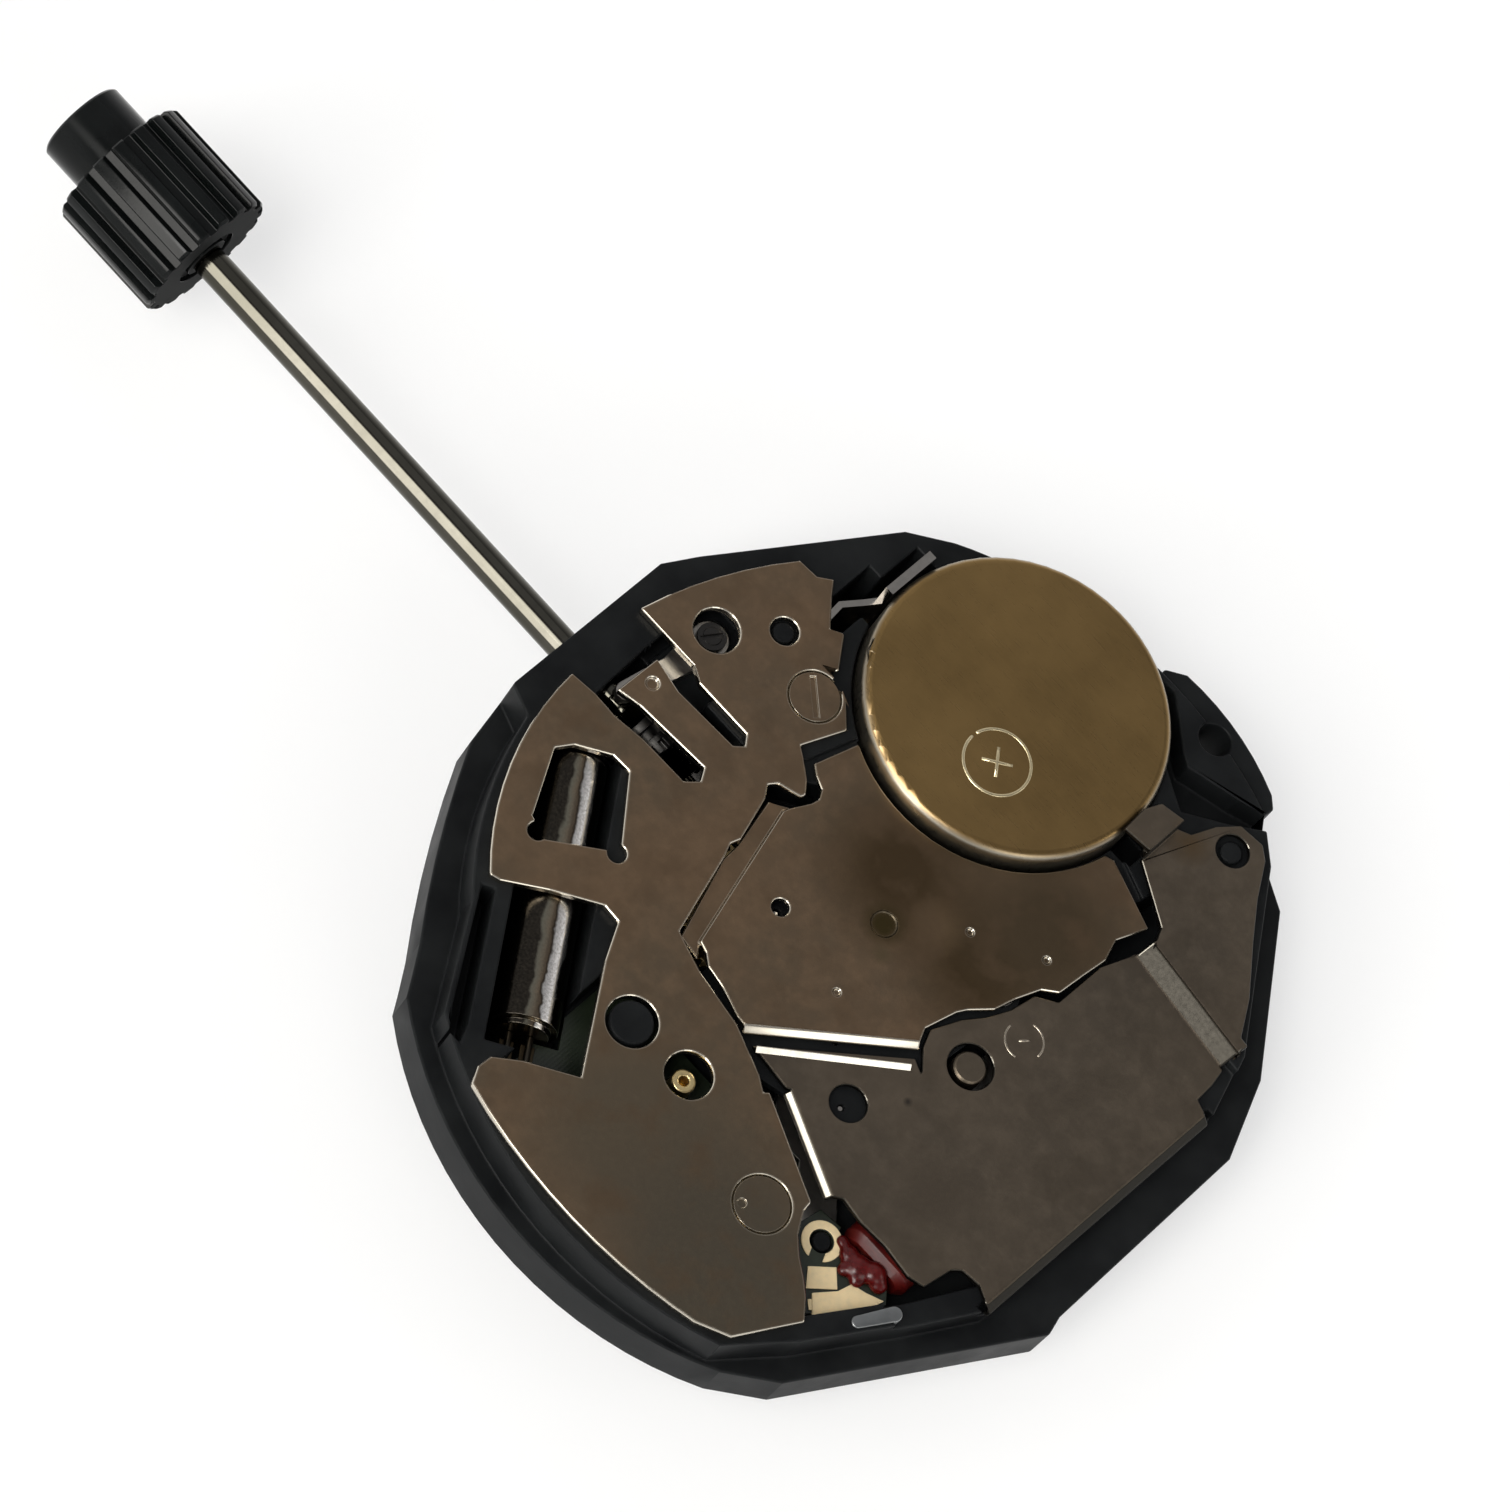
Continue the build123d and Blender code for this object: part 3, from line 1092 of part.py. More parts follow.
plate_post_x = -3.14
plate_post_y = 0.06
plate_post_r = 0.36
with BuildPart() as right_back_plate:
    with BuildSketch(Plane.XY.offset(right_seat)):
        add(right_plate_lower())
        with Locations((-2.06, 2.67)):
            Circle(0.40, mode=Mode.SUBTRACT)
        with Locations((plate_post_x, plate_post_y)):
            Circle(plate_post_r + 0.14, mode=Mode.SUBTRACT)
    extrude(amount=thin_sheet_t)
    # sloping edge beside the left back plate
    with BuildSketch(edge_plane(-3.24, 4.33, -1.10, 3.40)):
        Polygon(
            (-0.02, right_top), (0, right_top), (fold_out, right_seat + 0.03), (fold_out, right_seat),
            (-0.02, right_seat), align=None
        )
    extrude(amount=hypot(2.14, 0.93))
    with BuildSketch(Plane.XY.offset(raised_top - thin_sheet_t)):
        add(right_plate_upper())
        with Locations((-3.43, -7.74)):
            Circle(0.37, mode=Mode.SUBTRACT)
    extrude(amount=thin_sheet_t)
    # sloping step between the two fields
    with BuildSketch(Plane(origin=(-3.70, -4.55, 0), x_dir=(-0.105, -0.9945, 0), z_dir=(-0.9945, 0.105, 0))):
        with BuildLine():
            Polyline((-0.10, right_seat), (0.05, right_seat), (0.40, raised_top - thin_sheet_t), (0.60, raised_top - thin_sheet_t))
            Polyline((0.60, raised_top - thin_sheet_t), (0.60, raised_top), (0.32, raised_top), (-0.03, right_top), (-0.10, right_top))
            Line((-0.10, right_top), (-0.10, right_seat))
        make_face()
    extrude(amount=2.86)
    # folded outer edge
    with BuildSketch(Plane(origin=(-6.80, 3.42, 0), x_dir=(1, -0.0257, 0), z_dir=(-0.0257, -1, 0))):
        with BuildLine():
            Polyline((0, right_top), (-0.08, right_top), (-0.26, right_top - 0.16), (-0.26, right_top - 0.40))
            Polyline((-0.26, right_top - 0.40), (-0.12, right_top - 0.40), (-0.12, right_seat), (0, right_seat), (0, right_top))
        make_face()
    extrude(amount=6.60)
    # clip that holds the battery
    with BuildSketch(Plane.XY.offset(raised_top)):
        Polygon((-2.32, -7.13), (-2.32, -6.02), (-2.18, -6.00), (-2.18, -7.13), align=None)
    extrude(amount=cell_top + clip_gap - raised_top)
    with BuildSketch(Plane.XY.offset(cell_top + clip_gap)):
        Polygon((-2.32, -7.13), (-2.32, -6.02), (-1.62, -5.93), (-1.58, -6.60), (-1.74, -7.00), align=None)
    extrude(amount=clip_t)
save(right_back_plate, "right_back_plate")

# Steel post that stands in the round opening of the right back plate

with BuildPart() as plate_post:
    with Locations((plate_post_x, plate_post_y, core_z + 0.30)):
        Cylinder(plate_post_r, right_top - 0.02 - core_z - 0.30, align=BASE)
    with Locations((plate_post_x + 0.22, plate_post_y, floor_z)):
        Cylinder(0.12, core_z + 0.30 - floor_z, align=BASE)
    chamfer(plate_post.faces().sort_by(Axis.Z)[-1].edges(), 0.05)
save(plate_post, "plate_post")

# Keyless works: stem and crown, sliding pinion, yoke, setting lever

stem_plane = Plane(origin=(0, 0, stem_z), x_dir=(1, 0, 0), z_dir=(0, -1, 0))
with BuildPart() as winding_stem:
    with BuildSketch(stem_plane):
        with BuildLine():
            Polyline((stem_inner_x, 0), (stem_inner_x, 0.15), (square_x, 0.15), (square_x, groove_r), (groove_x, groove_r))
            Polyline((groove_x, groove_r), (groove_x + groove_w, groove_r), (groove_x + groove_w, stem_r))
            Polyline((groove_x + groove_w, stem_r), (crown_x + crown_bore, stem_r), (crown_x + crown_bore, 0), (stem_inner_x, 0))
        make_face()
    revolve(axis=Axis((0, 0, stem_z), (1, 0, 0)))
    with BuildSketch(Plane(origin=(square_x, 0, stem_z), x_dir=(0, 1, 0), z_dir=(1, 0, 0))):
        Rectangle(square_side, square_side)
    extrude(amount=square_end_x - square_x)
    with BuildSketch(Plane(origin=(square_end_x, 0, stem_z), x_dir=(0, 1, 0), z_dir=(1, 0, 0))):
        Circle(stem_r)
    extrude(amount=groove_x - square_end_x)
save(winding_stem, "winding_stem")

groove_depth = crown_tip_r - crown_root_r
crown_pitch = 2 * crown_tip_r * sin(radians(180 / crown_ribs))
knob_x = crown_x + crown_length
knob_end_x = knob_x + knob_length
with BuildPart() as setting_crown:
    with BuildSketch(stem_plane):
        with BuildLine():
            Polyline((crown_x, stem_r), (crown_x, crown_tip_r - crown_edge), (crown_x + crown_edge, crown_tip_r))
            Polyline(
                (crown_x + crown_edge, crown_tip_r), (knob_x - crown_edge, crown_tip_r), (knob_x, crown_tip_r - crown_edge)
            )
            Polyline((knob_x, crown_tip_r - crown_edge), (knob_x, knob_r), (knob_end_x - crown_edge, knob_r))
            Line((knob_end_x - crown_edge, knob_r), (knob_end_x, knob_r - crown_edge))
            Polyline((knob_end_x, knob_r - crown_edge), (knob_end_x + knob_dome, knob_r / 3), (knob_end_x + knob_dome, 0))
            Polyline(
                (knob_end_x + knob_dome, 0), (crown_x + crown_bore, 0), (crown_x + crown_bore, stem_r), (crown_x, stem_r)
            )
        make_face()
    revolve(axis=Axis((0, 0, stem_z), (1, 0, 0)))
    # grooves between the ribs
    with BuildSketch(Plane(origin=(crown_x, 0, stem_z), x_dir=(0, 1, 0), z_dir=(1, 0, 0))):
        with PolarLocations(crown_root_r, crown_ribs):
            Polygon(
                (0, -0.16 * crown_pitch),
                (groove_depth + 0.1, -0.34 * crown_pitch),
                (groove_depth + 0.1, 0.34 * crown_pitch),
                (0, 0.16 * crown_pitch),
                align=None,
            )
    extrude(amount=crown_length, mode=Mode.SUBTRACT)
    # shallow ring round the stem
    with BuildSketch(Plane(origin=(crown_x, 0, stem_z), x_dir=(0, 1, 0), z_dir=(1, 0, 0))):
        Circle(0.72)
        Circle(0.50, mode=Mode.SUBTRACT)
    extrude(amount=0.12, mode=Mode.SUBTRACT)
save(setting_crown, "setting_crown")

pinion_slots = 14
with BuildPart() as sliding_pinion:
    with BuildSketch(stem_plane):
        with BuildLine():
            Polyline((pinion_x, 0), (pinion_x, pinion_r), (fork_x, pinion_r), (fork_x, 0.40), (fork_x + fork_gap_w, 0.40))
            Polyline((fork_x + fork_gap_w, 0.40), (fork_x + fork_gap_w, pinion_r), (pinion_x + pinion_length, pinion_r))
            Polyline((pinion_x + pinion_length, pinion_r), (pinion_x + pinion_length, 0), (pinion_x, 0))
        make_face()
    revolve(axis=Axis((0, 0, stem_z), (1, 0, 0)))
    with BuildSketch(Plane(origin=(pinion_x, 0, stem_z), x_dir=(0, 1, 0), z_dir=(1, 0, 0))):
        with PolarLocations(0.52, pinion_slots):
            Rectangle(0.26, 0.13)
    extrude(amount=0.22, mode=Mode.SUBTRACT)
    with BuildSketch(Plane(origin=(pinion_x, 0, stem_z), x_dir=(0, 1, 0), z_dir=(1, 0, 0))):
        Rectangle(square_side + 0.06, square_side + 0.06)
    extrude(amount=pinion_length, mode=Mode.SUBTRACT)
save(sliding_pinion, "sliding_pinion")

yoke_z = stem_z - 0.09
yoke_t = 0.18
fork_mid_x = fork_x + fork_gap_w / 2
yoke_slot_x = 4.62
yoke_slot_y = 1.42
with BuildPart() as yoke:
    with BuildSketch(Plane.XY.offset(yoke_z)):
        with Locations((fork_mid_x, 0.64)):
            Rectangle(fork_t, 0.40)
        Polygon((fork_mid_x + fork_t / 2, 0.84), (fork_mid_x - fork_t / 2, 0.72), (5.10, 0.90), (4.60, 1.10), (5.05, 1.40), (5.60, 1.00), align=None)
        with Locations((yoke_slot_x, yoke_slot_y)):
            SlotCenterToCenter(0.40, 0.66)
            SlotCenterToCenter(0.30, 0.30, mode=Mode.SUBTRACT)
    extrude(amount=yoke_t)
save(yoke, "yoke")

with BuildPart() as yoke_pin:
    with Locations((yoke_slot_x - 0.14, yoke_slot_y, stem_z - 0.12)):
        Cylinder(0.12, 0.40, align=BASE)
    with Locations((yoke_slot_x - 0.14, yoke_slot_y, stem_z + 0.12)):
        Cylinder(0.22, 0.16, align=BASE)
save(yoke_pin, "yoke_pin")

tip_x = groove_x + groove_w / 2
with BuildPart() as setting_lever:
    with BuildSketch(Plane.XY.offset(lever_z)):
        add(hull_of_pads([(lever_x, lever_y, 0.42), (lever_x + 0.05, -1.20, 0.26)]))
        add(hull_of_pads([(lever_x + 0.05, -1.20, 0.26), (tip_x, -0.05, 0.22)]))
        add(hull_of_pads([(lever_x, lever_y, 0.36), (lever_x - 0.55, lever_y + 0.60, 0.16)]))
        with Locations((lever_x, lever_y)):
            Circle(0.20 + run_gap, mode=Mode.SUBTRACT)
    extrude(amount=lever_t)
    with Locations((tip_x, 0, stem_z + groove_r + run_gap)):
        Cylinder(lever_pin_r, lever_z + lever_t / 2 - stem_z - groove_r - run_gap, align=BASE)
save(setting_lever, "setting_lever")

with BuildPart() as lever_axle:
    with Locations((lever_x, lever_y, 0.90)):
        Cylinder(0.20, 1.10, align=BASE)
    with Locations((lever_x, lever_y, lever_z + lever_t + run_gap)):
        Cylinder(0.32, 0.12, align=BASE)
    with BuildSketch(Plane((lever_x, lever_y, 1.94))):
        Rectangle(0.50, 0.08, rotation=60)
    extrude(amount=0.2, mode=Mode.SUBTRACT)
save(lever_axle, "lever_axle")
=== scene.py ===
import json
from math import atan2, cos, degrees, pi, radians, sin

import bmesh
import bpy
from mathutils import Matrix, Vector


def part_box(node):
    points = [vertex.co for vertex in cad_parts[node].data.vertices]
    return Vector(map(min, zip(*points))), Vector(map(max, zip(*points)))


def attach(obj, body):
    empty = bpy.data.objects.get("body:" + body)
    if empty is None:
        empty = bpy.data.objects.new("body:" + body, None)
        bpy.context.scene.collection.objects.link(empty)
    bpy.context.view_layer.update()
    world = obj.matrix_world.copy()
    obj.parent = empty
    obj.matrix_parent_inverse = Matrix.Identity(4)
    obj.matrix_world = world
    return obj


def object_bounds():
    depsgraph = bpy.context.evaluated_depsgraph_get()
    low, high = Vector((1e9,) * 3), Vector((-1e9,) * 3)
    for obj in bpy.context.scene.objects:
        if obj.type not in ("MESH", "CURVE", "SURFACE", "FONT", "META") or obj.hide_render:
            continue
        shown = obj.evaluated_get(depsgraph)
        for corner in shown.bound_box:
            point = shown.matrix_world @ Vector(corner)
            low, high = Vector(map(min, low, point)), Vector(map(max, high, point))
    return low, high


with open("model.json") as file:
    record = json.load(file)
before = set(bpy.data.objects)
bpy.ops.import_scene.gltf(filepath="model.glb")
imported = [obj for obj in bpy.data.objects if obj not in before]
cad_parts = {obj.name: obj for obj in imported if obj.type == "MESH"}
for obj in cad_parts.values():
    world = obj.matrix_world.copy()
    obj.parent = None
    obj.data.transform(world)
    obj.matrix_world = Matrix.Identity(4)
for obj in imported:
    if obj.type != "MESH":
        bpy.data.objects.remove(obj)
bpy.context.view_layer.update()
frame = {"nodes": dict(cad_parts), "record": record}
nodes = frame["nodes"]
MM = 0.001

# View of the photograph, in the part's own frame
look_at = Vector((4.54, -1.54, 1.27)) * MM
toward_camera = Vector((-0.08127, 0.48136, 0.87275))
camera_up = Vector((0.73378, -0.56369, 0.37924))
camera_distance = 140 * MM
lens_mm = 163.0

# Edge finish, in millimetres, by node
edge_round = 0.025
edge_rounds = {
    "main_plate": 0.05,
    "left_back_plate": 0.045,
    "centre_plate": 0.04,
    "right_back_plate": 0.04,
    "battery_can": 0.02,
    "setting_crown": 0.015,
    "plate_screws": 0.012,
    "plate_post": 0.012,
    "lever_axle": 0.012,
}
floor_drop = 0.01 * MM


# Material helpers


def new_material(name):
    """Empty node material with its output and a Principled shader."""
    material = bpy.data.materials.new(name)
    material.use_nodes = True
    tree = material.node_tree
    tree.nodes.clear()
    output = tree.nodes.new("ShaderNodeOutputMaterial")
    shader = tree.nodes.new("ShaderNodeBsdfPrincipled")
    tree.links.new(shader.outputs["BSDF"], output.inputs["Surface"])
    return material, tree, shader


def place(tree, stretch=(1, 1, 1)):
    """Object coordinates in millimetres, stretched along each axis."""
    coordinate = tree.nodes.new("ShaderNodeTexCoord")
    mapping = tree.nodes.new("ShaderNodeMapping")
    mapping.inputs["Scale"].default_value = [1000 * s for s in stretch]
    tree.links.new(coordinate.outputs["Object"], mapping.inputs["Vector"])
    return mapping.outputs["Vector"]


def noise(tree, vector, scale, detail=4.0, roughness=0.55):
    """Noise value at a scale given in features per millimetre."""
    node = tree.nodes.new("ShaderNodeTexNoise")
    node.inputs["Scale"].default_value = scale
    node.inputs["Detail"].default_value = detail
    node.inputs["Roughness"].default_value = roughness
    tree.links.new(vector, node.inputs["Vector"])
    return node.outputs["Fac"]


def ramp(tree, value, stops):
    """Colour ramp from (position, colour) stops."""
    node = tree.nodes.new("ShaderNodeValToRGB")
    while len(node.color_ramp.elements) < len(stops):
        node.color_ramp.elements.new(0.5)
    for element, (position, colour) in zip(node.color_ramp.elements, stops):
        element.position = position
        element.color = (*colour, 1)
    tree.links.new(value, node.inputs["Fac"])
    return node.outputs["Color"]


def remap(tree, value, low, high, from_low=0.3, from_high=0.7):
    """Value moved to a new range."""
    node = tree.nodes.new("ShaderNodeMapRange")
    node.inputs["From Min"].default_value = from_low
    node.inputs["From Max"].default_value = from_high
    node.inputs["To Min"].default_value = low
    node.inputs["To Max"].default_value = high
    tree.links.new(value, node.inputs["Value"])
    return node.outputs["Result"]


def mixed(tree, factor, a, b):
    """Colour between a and b, by factor."""
    node = tree.nodes.new("ShaderNodeMix")
    node.data_type = "RGBA"
    tree.links.new(factor, node.inputs["Factor"])
    for socket, colour in ((node.inputs["A"], a), (node.inputs["B"], b)):
        if isinstance(colour, tuple):
            socket.default_value = (*colour, 1)
        else:
            tree.links.new(colour, socket)
    return node.outputs["Result"]


def combine(tree, operation, a, b=None):
    """Maths on a value, alone or with a second value or number."""
    node = tree.nodes.new("ShaderNodeMath")
    node.operation = operation
    tree.links.new(a, node.inputs[0])
    if isinstance(b, float):
        node.inputs[1].default_value = b
    elif b is not None:
        tree.links.new(b, node.inputs[1])
    return node.outputs["Value"]


def bump(tree, shader, height, strength, distance_mm, before=None):
    """Bump from a height value; before is a bump output to add to."""
    node = tree.nodes.new("ShaderNodeBump")
    node.inputs["Strength"].default_value = strength
    node.inputs["Distance"].default_value = distance_mm * MM
    tree.links.new(height, node.inputs["Height"])
    if before is not None:
        tree.links.new(before, node.inputs["Normal"])
    tree.links.new(node.outputs["Normal"], shader.inputs["Normal"])
    return node.outputs["Normal"]


def worn_metal(
    name, colour, stain, roughness=(0.30, 0.42), grain=(1, 1, 1), grain_strength=0.15, metallic=1.0
):
    """Rolled or plated metal: cloudy stain, fine grain and small pits."""
    material, tree, shader = new_material(name)
    vector = place(tree)
    grain_vector = place(tree, grain)
    clouds = noise(tree, vector, 0.45, 5.0)
    fine = noise(tree, grain_vector, 9.0, 3.0, 0.7)
    specks = noise(tree, vector, 6.0, 2.0)
    toned = mixed(tree, remap(tree, clouds, 0.0, 1.0, 0.35, 0.65), colour, stain)
    darker = tuple(0.72 * c for c in colour)
    tinted = mixed(tree, remap(tree, specks, 0.0, 0.45, 0.45, 0.75), toned, darker)
    tree.links.new(tinted, shader.inputs["Base Color"])
    tree.links.new(remap(tree, fine, *roughness), shader.inputs["Roughness"])
    shader.inputs["Metallic"].default_value = metallic
    first = bump(tree, shader, fine, grain_strength, 0.004)
    bump(tree, shader, clouds, 0.25, 0.02, first)
    return material


def spot(tree, vector, x, y, radius, soft):
    """Value that is 1 inside a round spot and falls to 0 over a soft edge."""
    flat = tree.nodes.new("ShaderNodeVectorMath")
    flat.operation = "MULTIPLY"
    flat.inputs[1].default_value = (1, 1, 0)
    tree.links.new(vector, flat.inputs[0])
    reach = tree.nodes.new("ShaderNodeVectorMath")
    reach.operation = "DISTANCE"
    reach.inputs[1].default_value = (x, y, 0)
    tree.links.new(flat.outputs["Vector"], reach.inputs[0])
    return remap(tree, reach.outputs["Value"], 1.0, 0.0, radius, radius + soft)


def upright(tree, low=0.86, high=0.985):
    """Value that is 1 on upright faces and bent edges, and 0 on flat ones."""
    coordinate = tree.nodes.new("ShaderNodeTexCoord")
    split = tree.nodes.new("ShaderNodeSeparateXYZ")
    tree.links.new(coordinate.outputs["Normal"], split.inputs["Vector"])
    return remap(tree, combine(tree, "ABSOLUTE", split.outputs["Z"]), 1.0, 0.0, low, high)


def turned_to(tree, direction, low, high):
    """Value that is 1 on faces turned to a direction of the part, and 0 on others."""
    coordinate = tree.nodes.new("ShaderNodeTexCoord")
    dot = tree.nodes.new("ShaderNodeVectorMath")
    dot.operation = "DOT_PRODUCT"
    dot.inputs[1].default_value = Vector(direction).normalized()
    tree.links.new(coordinate.outputs["Normal"], dot.inputs[0])
    return remap(tree, dot.outputs["Value"], 0.0, 1.0, low, high)


def pressed_plate(name, colour, stain, edge, stains=(), roughness=(0.32, 0.46), glint_facing=None, dull=()):
    """Pressed sheet steel: tinted satin faces, soft stains, and a paler steel colour at bends and edges
    that is partly unplated metal and partly a painted highlight; a glint direction adds a painted highlight
    on faces turned that way and painted shade on other upright faces.
    """
    material, tree, shader = new_material(name)
    vector = place(tree)
    clouds = noise(tree, vector, 0.35, 5.0)
    fine = noise(tree, vector, 11.0, 3.0, 0.7)
    mottle = noise(tree, vector, 2.4, 4.0, 0.6)
    toned = mixed(tree, remap(tree, clouds, 0.0, 1.0, 0.35, 0.65), colour, stain)
    lighter = tuple(1.30 * c for c in colour)
    toned = mixed(tree, remap(tree, mottle, 0.0, 0.55, 0.42, 0.72), toned, lighter)
    for x, y, radius, soft, tone in stains:
        toned = mixed(tree, spot(tree, vector, x, y, radius, soft), toned, tone)
    smudge = noise(tree, vector, 0.9, 3.0, 0.6)
    darker = tuple(0.74 * c for c in colour)
    toned = mixed(tree, remap(tree, smudge, 0.0, 0.6, 0.5, 0.68), toned, darker)
    # Upright faces, bends and edges take the pale edge colour: partly unplated metal, partly a painted
    # highlight.
    bare_and_glint = upright(tree)
    for x, y, radius, soft in dull:
        patch = spot(tree, vector, x, y, radius, soft)
        bare_and_glint = combine(tree, "MULTIPLY", bare_and_glint, remap(tree, patch, 1.0, 0.12, 0.0, 1.0))
    polished = bare_and_glint
    # Painted highlight on faces turned to the glint direction, and painted shade at a twentieth of the edge
    # colour on other upright faces; polished carries this painted highlight as well as the smoother
    # roughness.
    if glint_facing is not None:
        polished = turned_to(tree, glint_facing, 0.984, 0.996)
        edge = mixed(tree, polished, tuple(0.05 * c for c in edge), edge)
    tinted = mixed(tree, bare_and_glint, toned, edge)
    tree.links.new(tinted, shader.inputs["Base Color"])
    rough = remap(tree, fine, *roughness)
    smooth = tree.nodes.new("ShaderNodeMix")
    tree.links.new(polished, smooth.inputs["Factor"])
    tree.links.new(rough, smooth.inputs["A"])
    smooth.inputs["B"].default_value = 0.20
    tree.links.new(smooth.outputs["Result"], shader.inputs["Roughness"])
    shader.inputs["Metallic"].default_value = 1.0
    first = bump(tree, shader, fine, 0.12, 0.004)
    bump(tree, shader, clouds, 0.30, 0.03, first)
    return material


def moulded_plastic(
    name, colour, pale, roughness=(0.34, 0.52), grain_strength=0.25, gloss=0.5, matt_side=None
):
    """Moulded plastic: slight mottling, satin grain and handling marks."""
    material, tree, shader = new_material(name)
    vector = place(tree)
    clouds = noise(tree, vector, 0.7, 5.0)
    fine = noise(tree, vector, 14.0, 3.0, 0.7)
    toned = mixed(tree, remap(tree, clouds, 0.0, 1.0, 0.35, 0.7), colour, pale)
    tree.links.new(toned, shader.inputs["Base Color"])
    shader.inputs["Specular IOR Level"].default_value = gloss
    rough = remap(tree, clouds, *roughness)
    if matt_side is not None:
        dulled = tree.nodes.new("ShaderNodeMix")
        tree.links.new(turned_to(tree, matt_side, 0.80, 0.95), dulled.inputs["Factor"])
        tree.links.new(rough, dulled.inputs["A"])
        dulled.inputs["B"].default_value = 0.75
        rough = dulled.outputs["Result"]
    tree.links.new(rough, shader.inputs["Roughness"])
    first = bump(tree, shader, fine, grain_strength, 0.006)
    bump(tree, shader, clouds, 0.2, 0.03, first)
    return material


def turned_metal(name, colour, centre, rim, roughness=(0.26, 0.38)):
    """Battery steel: fine turned rings about a centre, with a warm patina and light scratches; its sides
    and rounded rim take a paler steel, partly the can's plain steel and partly a painted highlight.
    """
    material, tree, shader = new_material(name)
    coordinate = tree.nodes.new("ShaderNodeTexCoord")
    mapping = tree.nodes.new("ShaderNodeMapping")
    mapping.inputs["Scale"].default_value = (1000, 1000, 1000)
    mapping.inputs["Location"].default_value = [-1000 * c for c in centre]
    tree.links.new(coordinate.outputs["Object"], mapping.inputs["Vector"])
    vector = mapping.outputs["Vector"]
    rings = tree.nodes.new("ShaderNodeTexWave")
    rings.wave_type = "RINGS"
    rings.rings_direction = "Z"
    rings.inputs["Scale"].default_value = 3.2
    rings.inputs["Distortion"].default_value = 1.2
    rings.inputs["Detail"].default_value = 3.0
    rings.inputs["Detail Scale"].default_value = 2.0
    tree.links.new(vector, rings.inputs["Vector"])
    clouds = noise(tree, vector, 0.55, 5.0)
    scratch = noise(tree, place(tree, (0.6, 9, 1)), 3.0, 3.0, 0.7)
    pale = tuple(1.18 * c for c in colour)
    dark = tuple(0.86 * c for c in colour)
    toned = mixed(tree, remap(tree, clouds, 0.0, 1.0, 0.32, 0.68), dark, pale)
    lined = mixed(tree, remap(tree, scratch, 0.0, 0.35, 0.5, 0.72), toned, pale)
    # Paler steel on the sides and rounded rim: partly plain steel, partly a painted highlight along the
    # rim.
    tree.links.new(mixed(tree, upright(tree, 0.55, 0.93), lined, rim), shader.inputs["Base Color"])
    tree.links.new(remap(tree, scratch, *roughness), shader.inputs["Roughness"])
    shader.inputs["Metallic"].default_value = 1.0
    first = bump(tree, shader, rings.outputs["Fac"], 0.06, 0.004)
    bump(tree, shader, scratch, 0.10, 0.004, first)
    return material


def can_with_painted_reflections(name, axis_turn, tones):
    """Drawn metal can with painted reflections along its length: a dark side, brown bands and one bright
    band of painted highlight, set by which way the surface faces across the can.
    """
    material, tree, shader = new_material(name)
    turn = radians(axis_turn)
    coordinate = tree.nodes.new("ShaderNodeTexCoord")
    across = tree.nodes.new("ShaderNodeVectorMath")
    across.operation = "DOT_PRODUCT"
    across.inputs[1].default_value = (-sin(turn), cos(turn), 0)
    tree.links.new(coordinate.outputs["Normal"], across.inputs[0])
    ragged = noise(tree, place(tree), 1.4, 4.0, 0.6)
    shifted = combine(tree, "ADD", across.outputs["Value"], remap(tree, ragged, -0.09, 0.09))
    bands = ramp(tree, remap(tree, shifted, 0.0, 1.0, -1.0, 1.0), tones)
    fine = noise(tree, place(tree, (3, 3, 3)), 6.0, 3.0, 0.7)
    toned = mixed(tree, remap(tree, fine, 0.0, 0.35, 0.4, 0.7), bands, (0.10, 0.085, 0.065))
    tree.links.new(toned, shader.inputs["Base Color"])
    tree.links.new(remap(tree, fine, 0.16, 0.26), shader.inputs["Roughness"])
    shader.inputs["Metallic"].default_value = 1.0
    bump(tree, shader, ragged, 0.3, 0.03)
    return material


def varnished_wire(name):
    """Red varnish over fine copper wire."""
    material, tree, shader = new_material(name)
    vector = place(tree)
    clouds = noise(tree, vector, 1.6, 4.0)
    fine = noise(tree, place(tree, (1, 8, 1)), 4.0, 2.0)
    toned = mixed(tree, remap(tree, clouds, 0.0, 1.0), (0.030, 0.001, 0.001), (0.075, 0.003, 0.002))
    lit = mixed(tree, remap(tree, fine, 0.0, 0.30, 0.5, 0.75), toned, (0.16, 0.02, 0.010))
    tree.links.new(lit, shader.inputs["Base Color"])
    tree.links.new(remap(tree, clouds, 0.34, 0.48), shader.inputs["Roughness"])
    shader.inputs["Specular IOR Level"].default_value = 0.30
    shader.inputs["Coat Weight"].default_value = 0.08
    shader.inputs["Coat Roughness"].default_value = 0.20
    bump(tree, shader, fine, 0.2, 0.01)
    return material


def varnish(name):
    """Clear dark red varnish, thick and glossy."""
    material, tree, shader = new_material(name)
    vector = place(tree)
    clouds = noise(tree, vector, 2.6, 4.0)
    toned = mixed(tree, remap(tree, clouds, 0.0, 1.0), (0.034, 0.0006, 0.0006), (0.090, 0.0020, 0.0018))
    tree.links.new(toned, shader.inputs["Base Color"])
    tree.links.new(remap(tree, clouds, 0.22, 0.34), shader.inputs["Roughness"])
    shader.inputs["Specular IOR Level"].default_value = 0.30
    shader.inputs["Coat Weight"].default_value = 0.15
    shader.inputs["Coat Roughness"].default_value = 0.16
    bump(tree, shader, clouds, 0.04, 0.03)
    return material


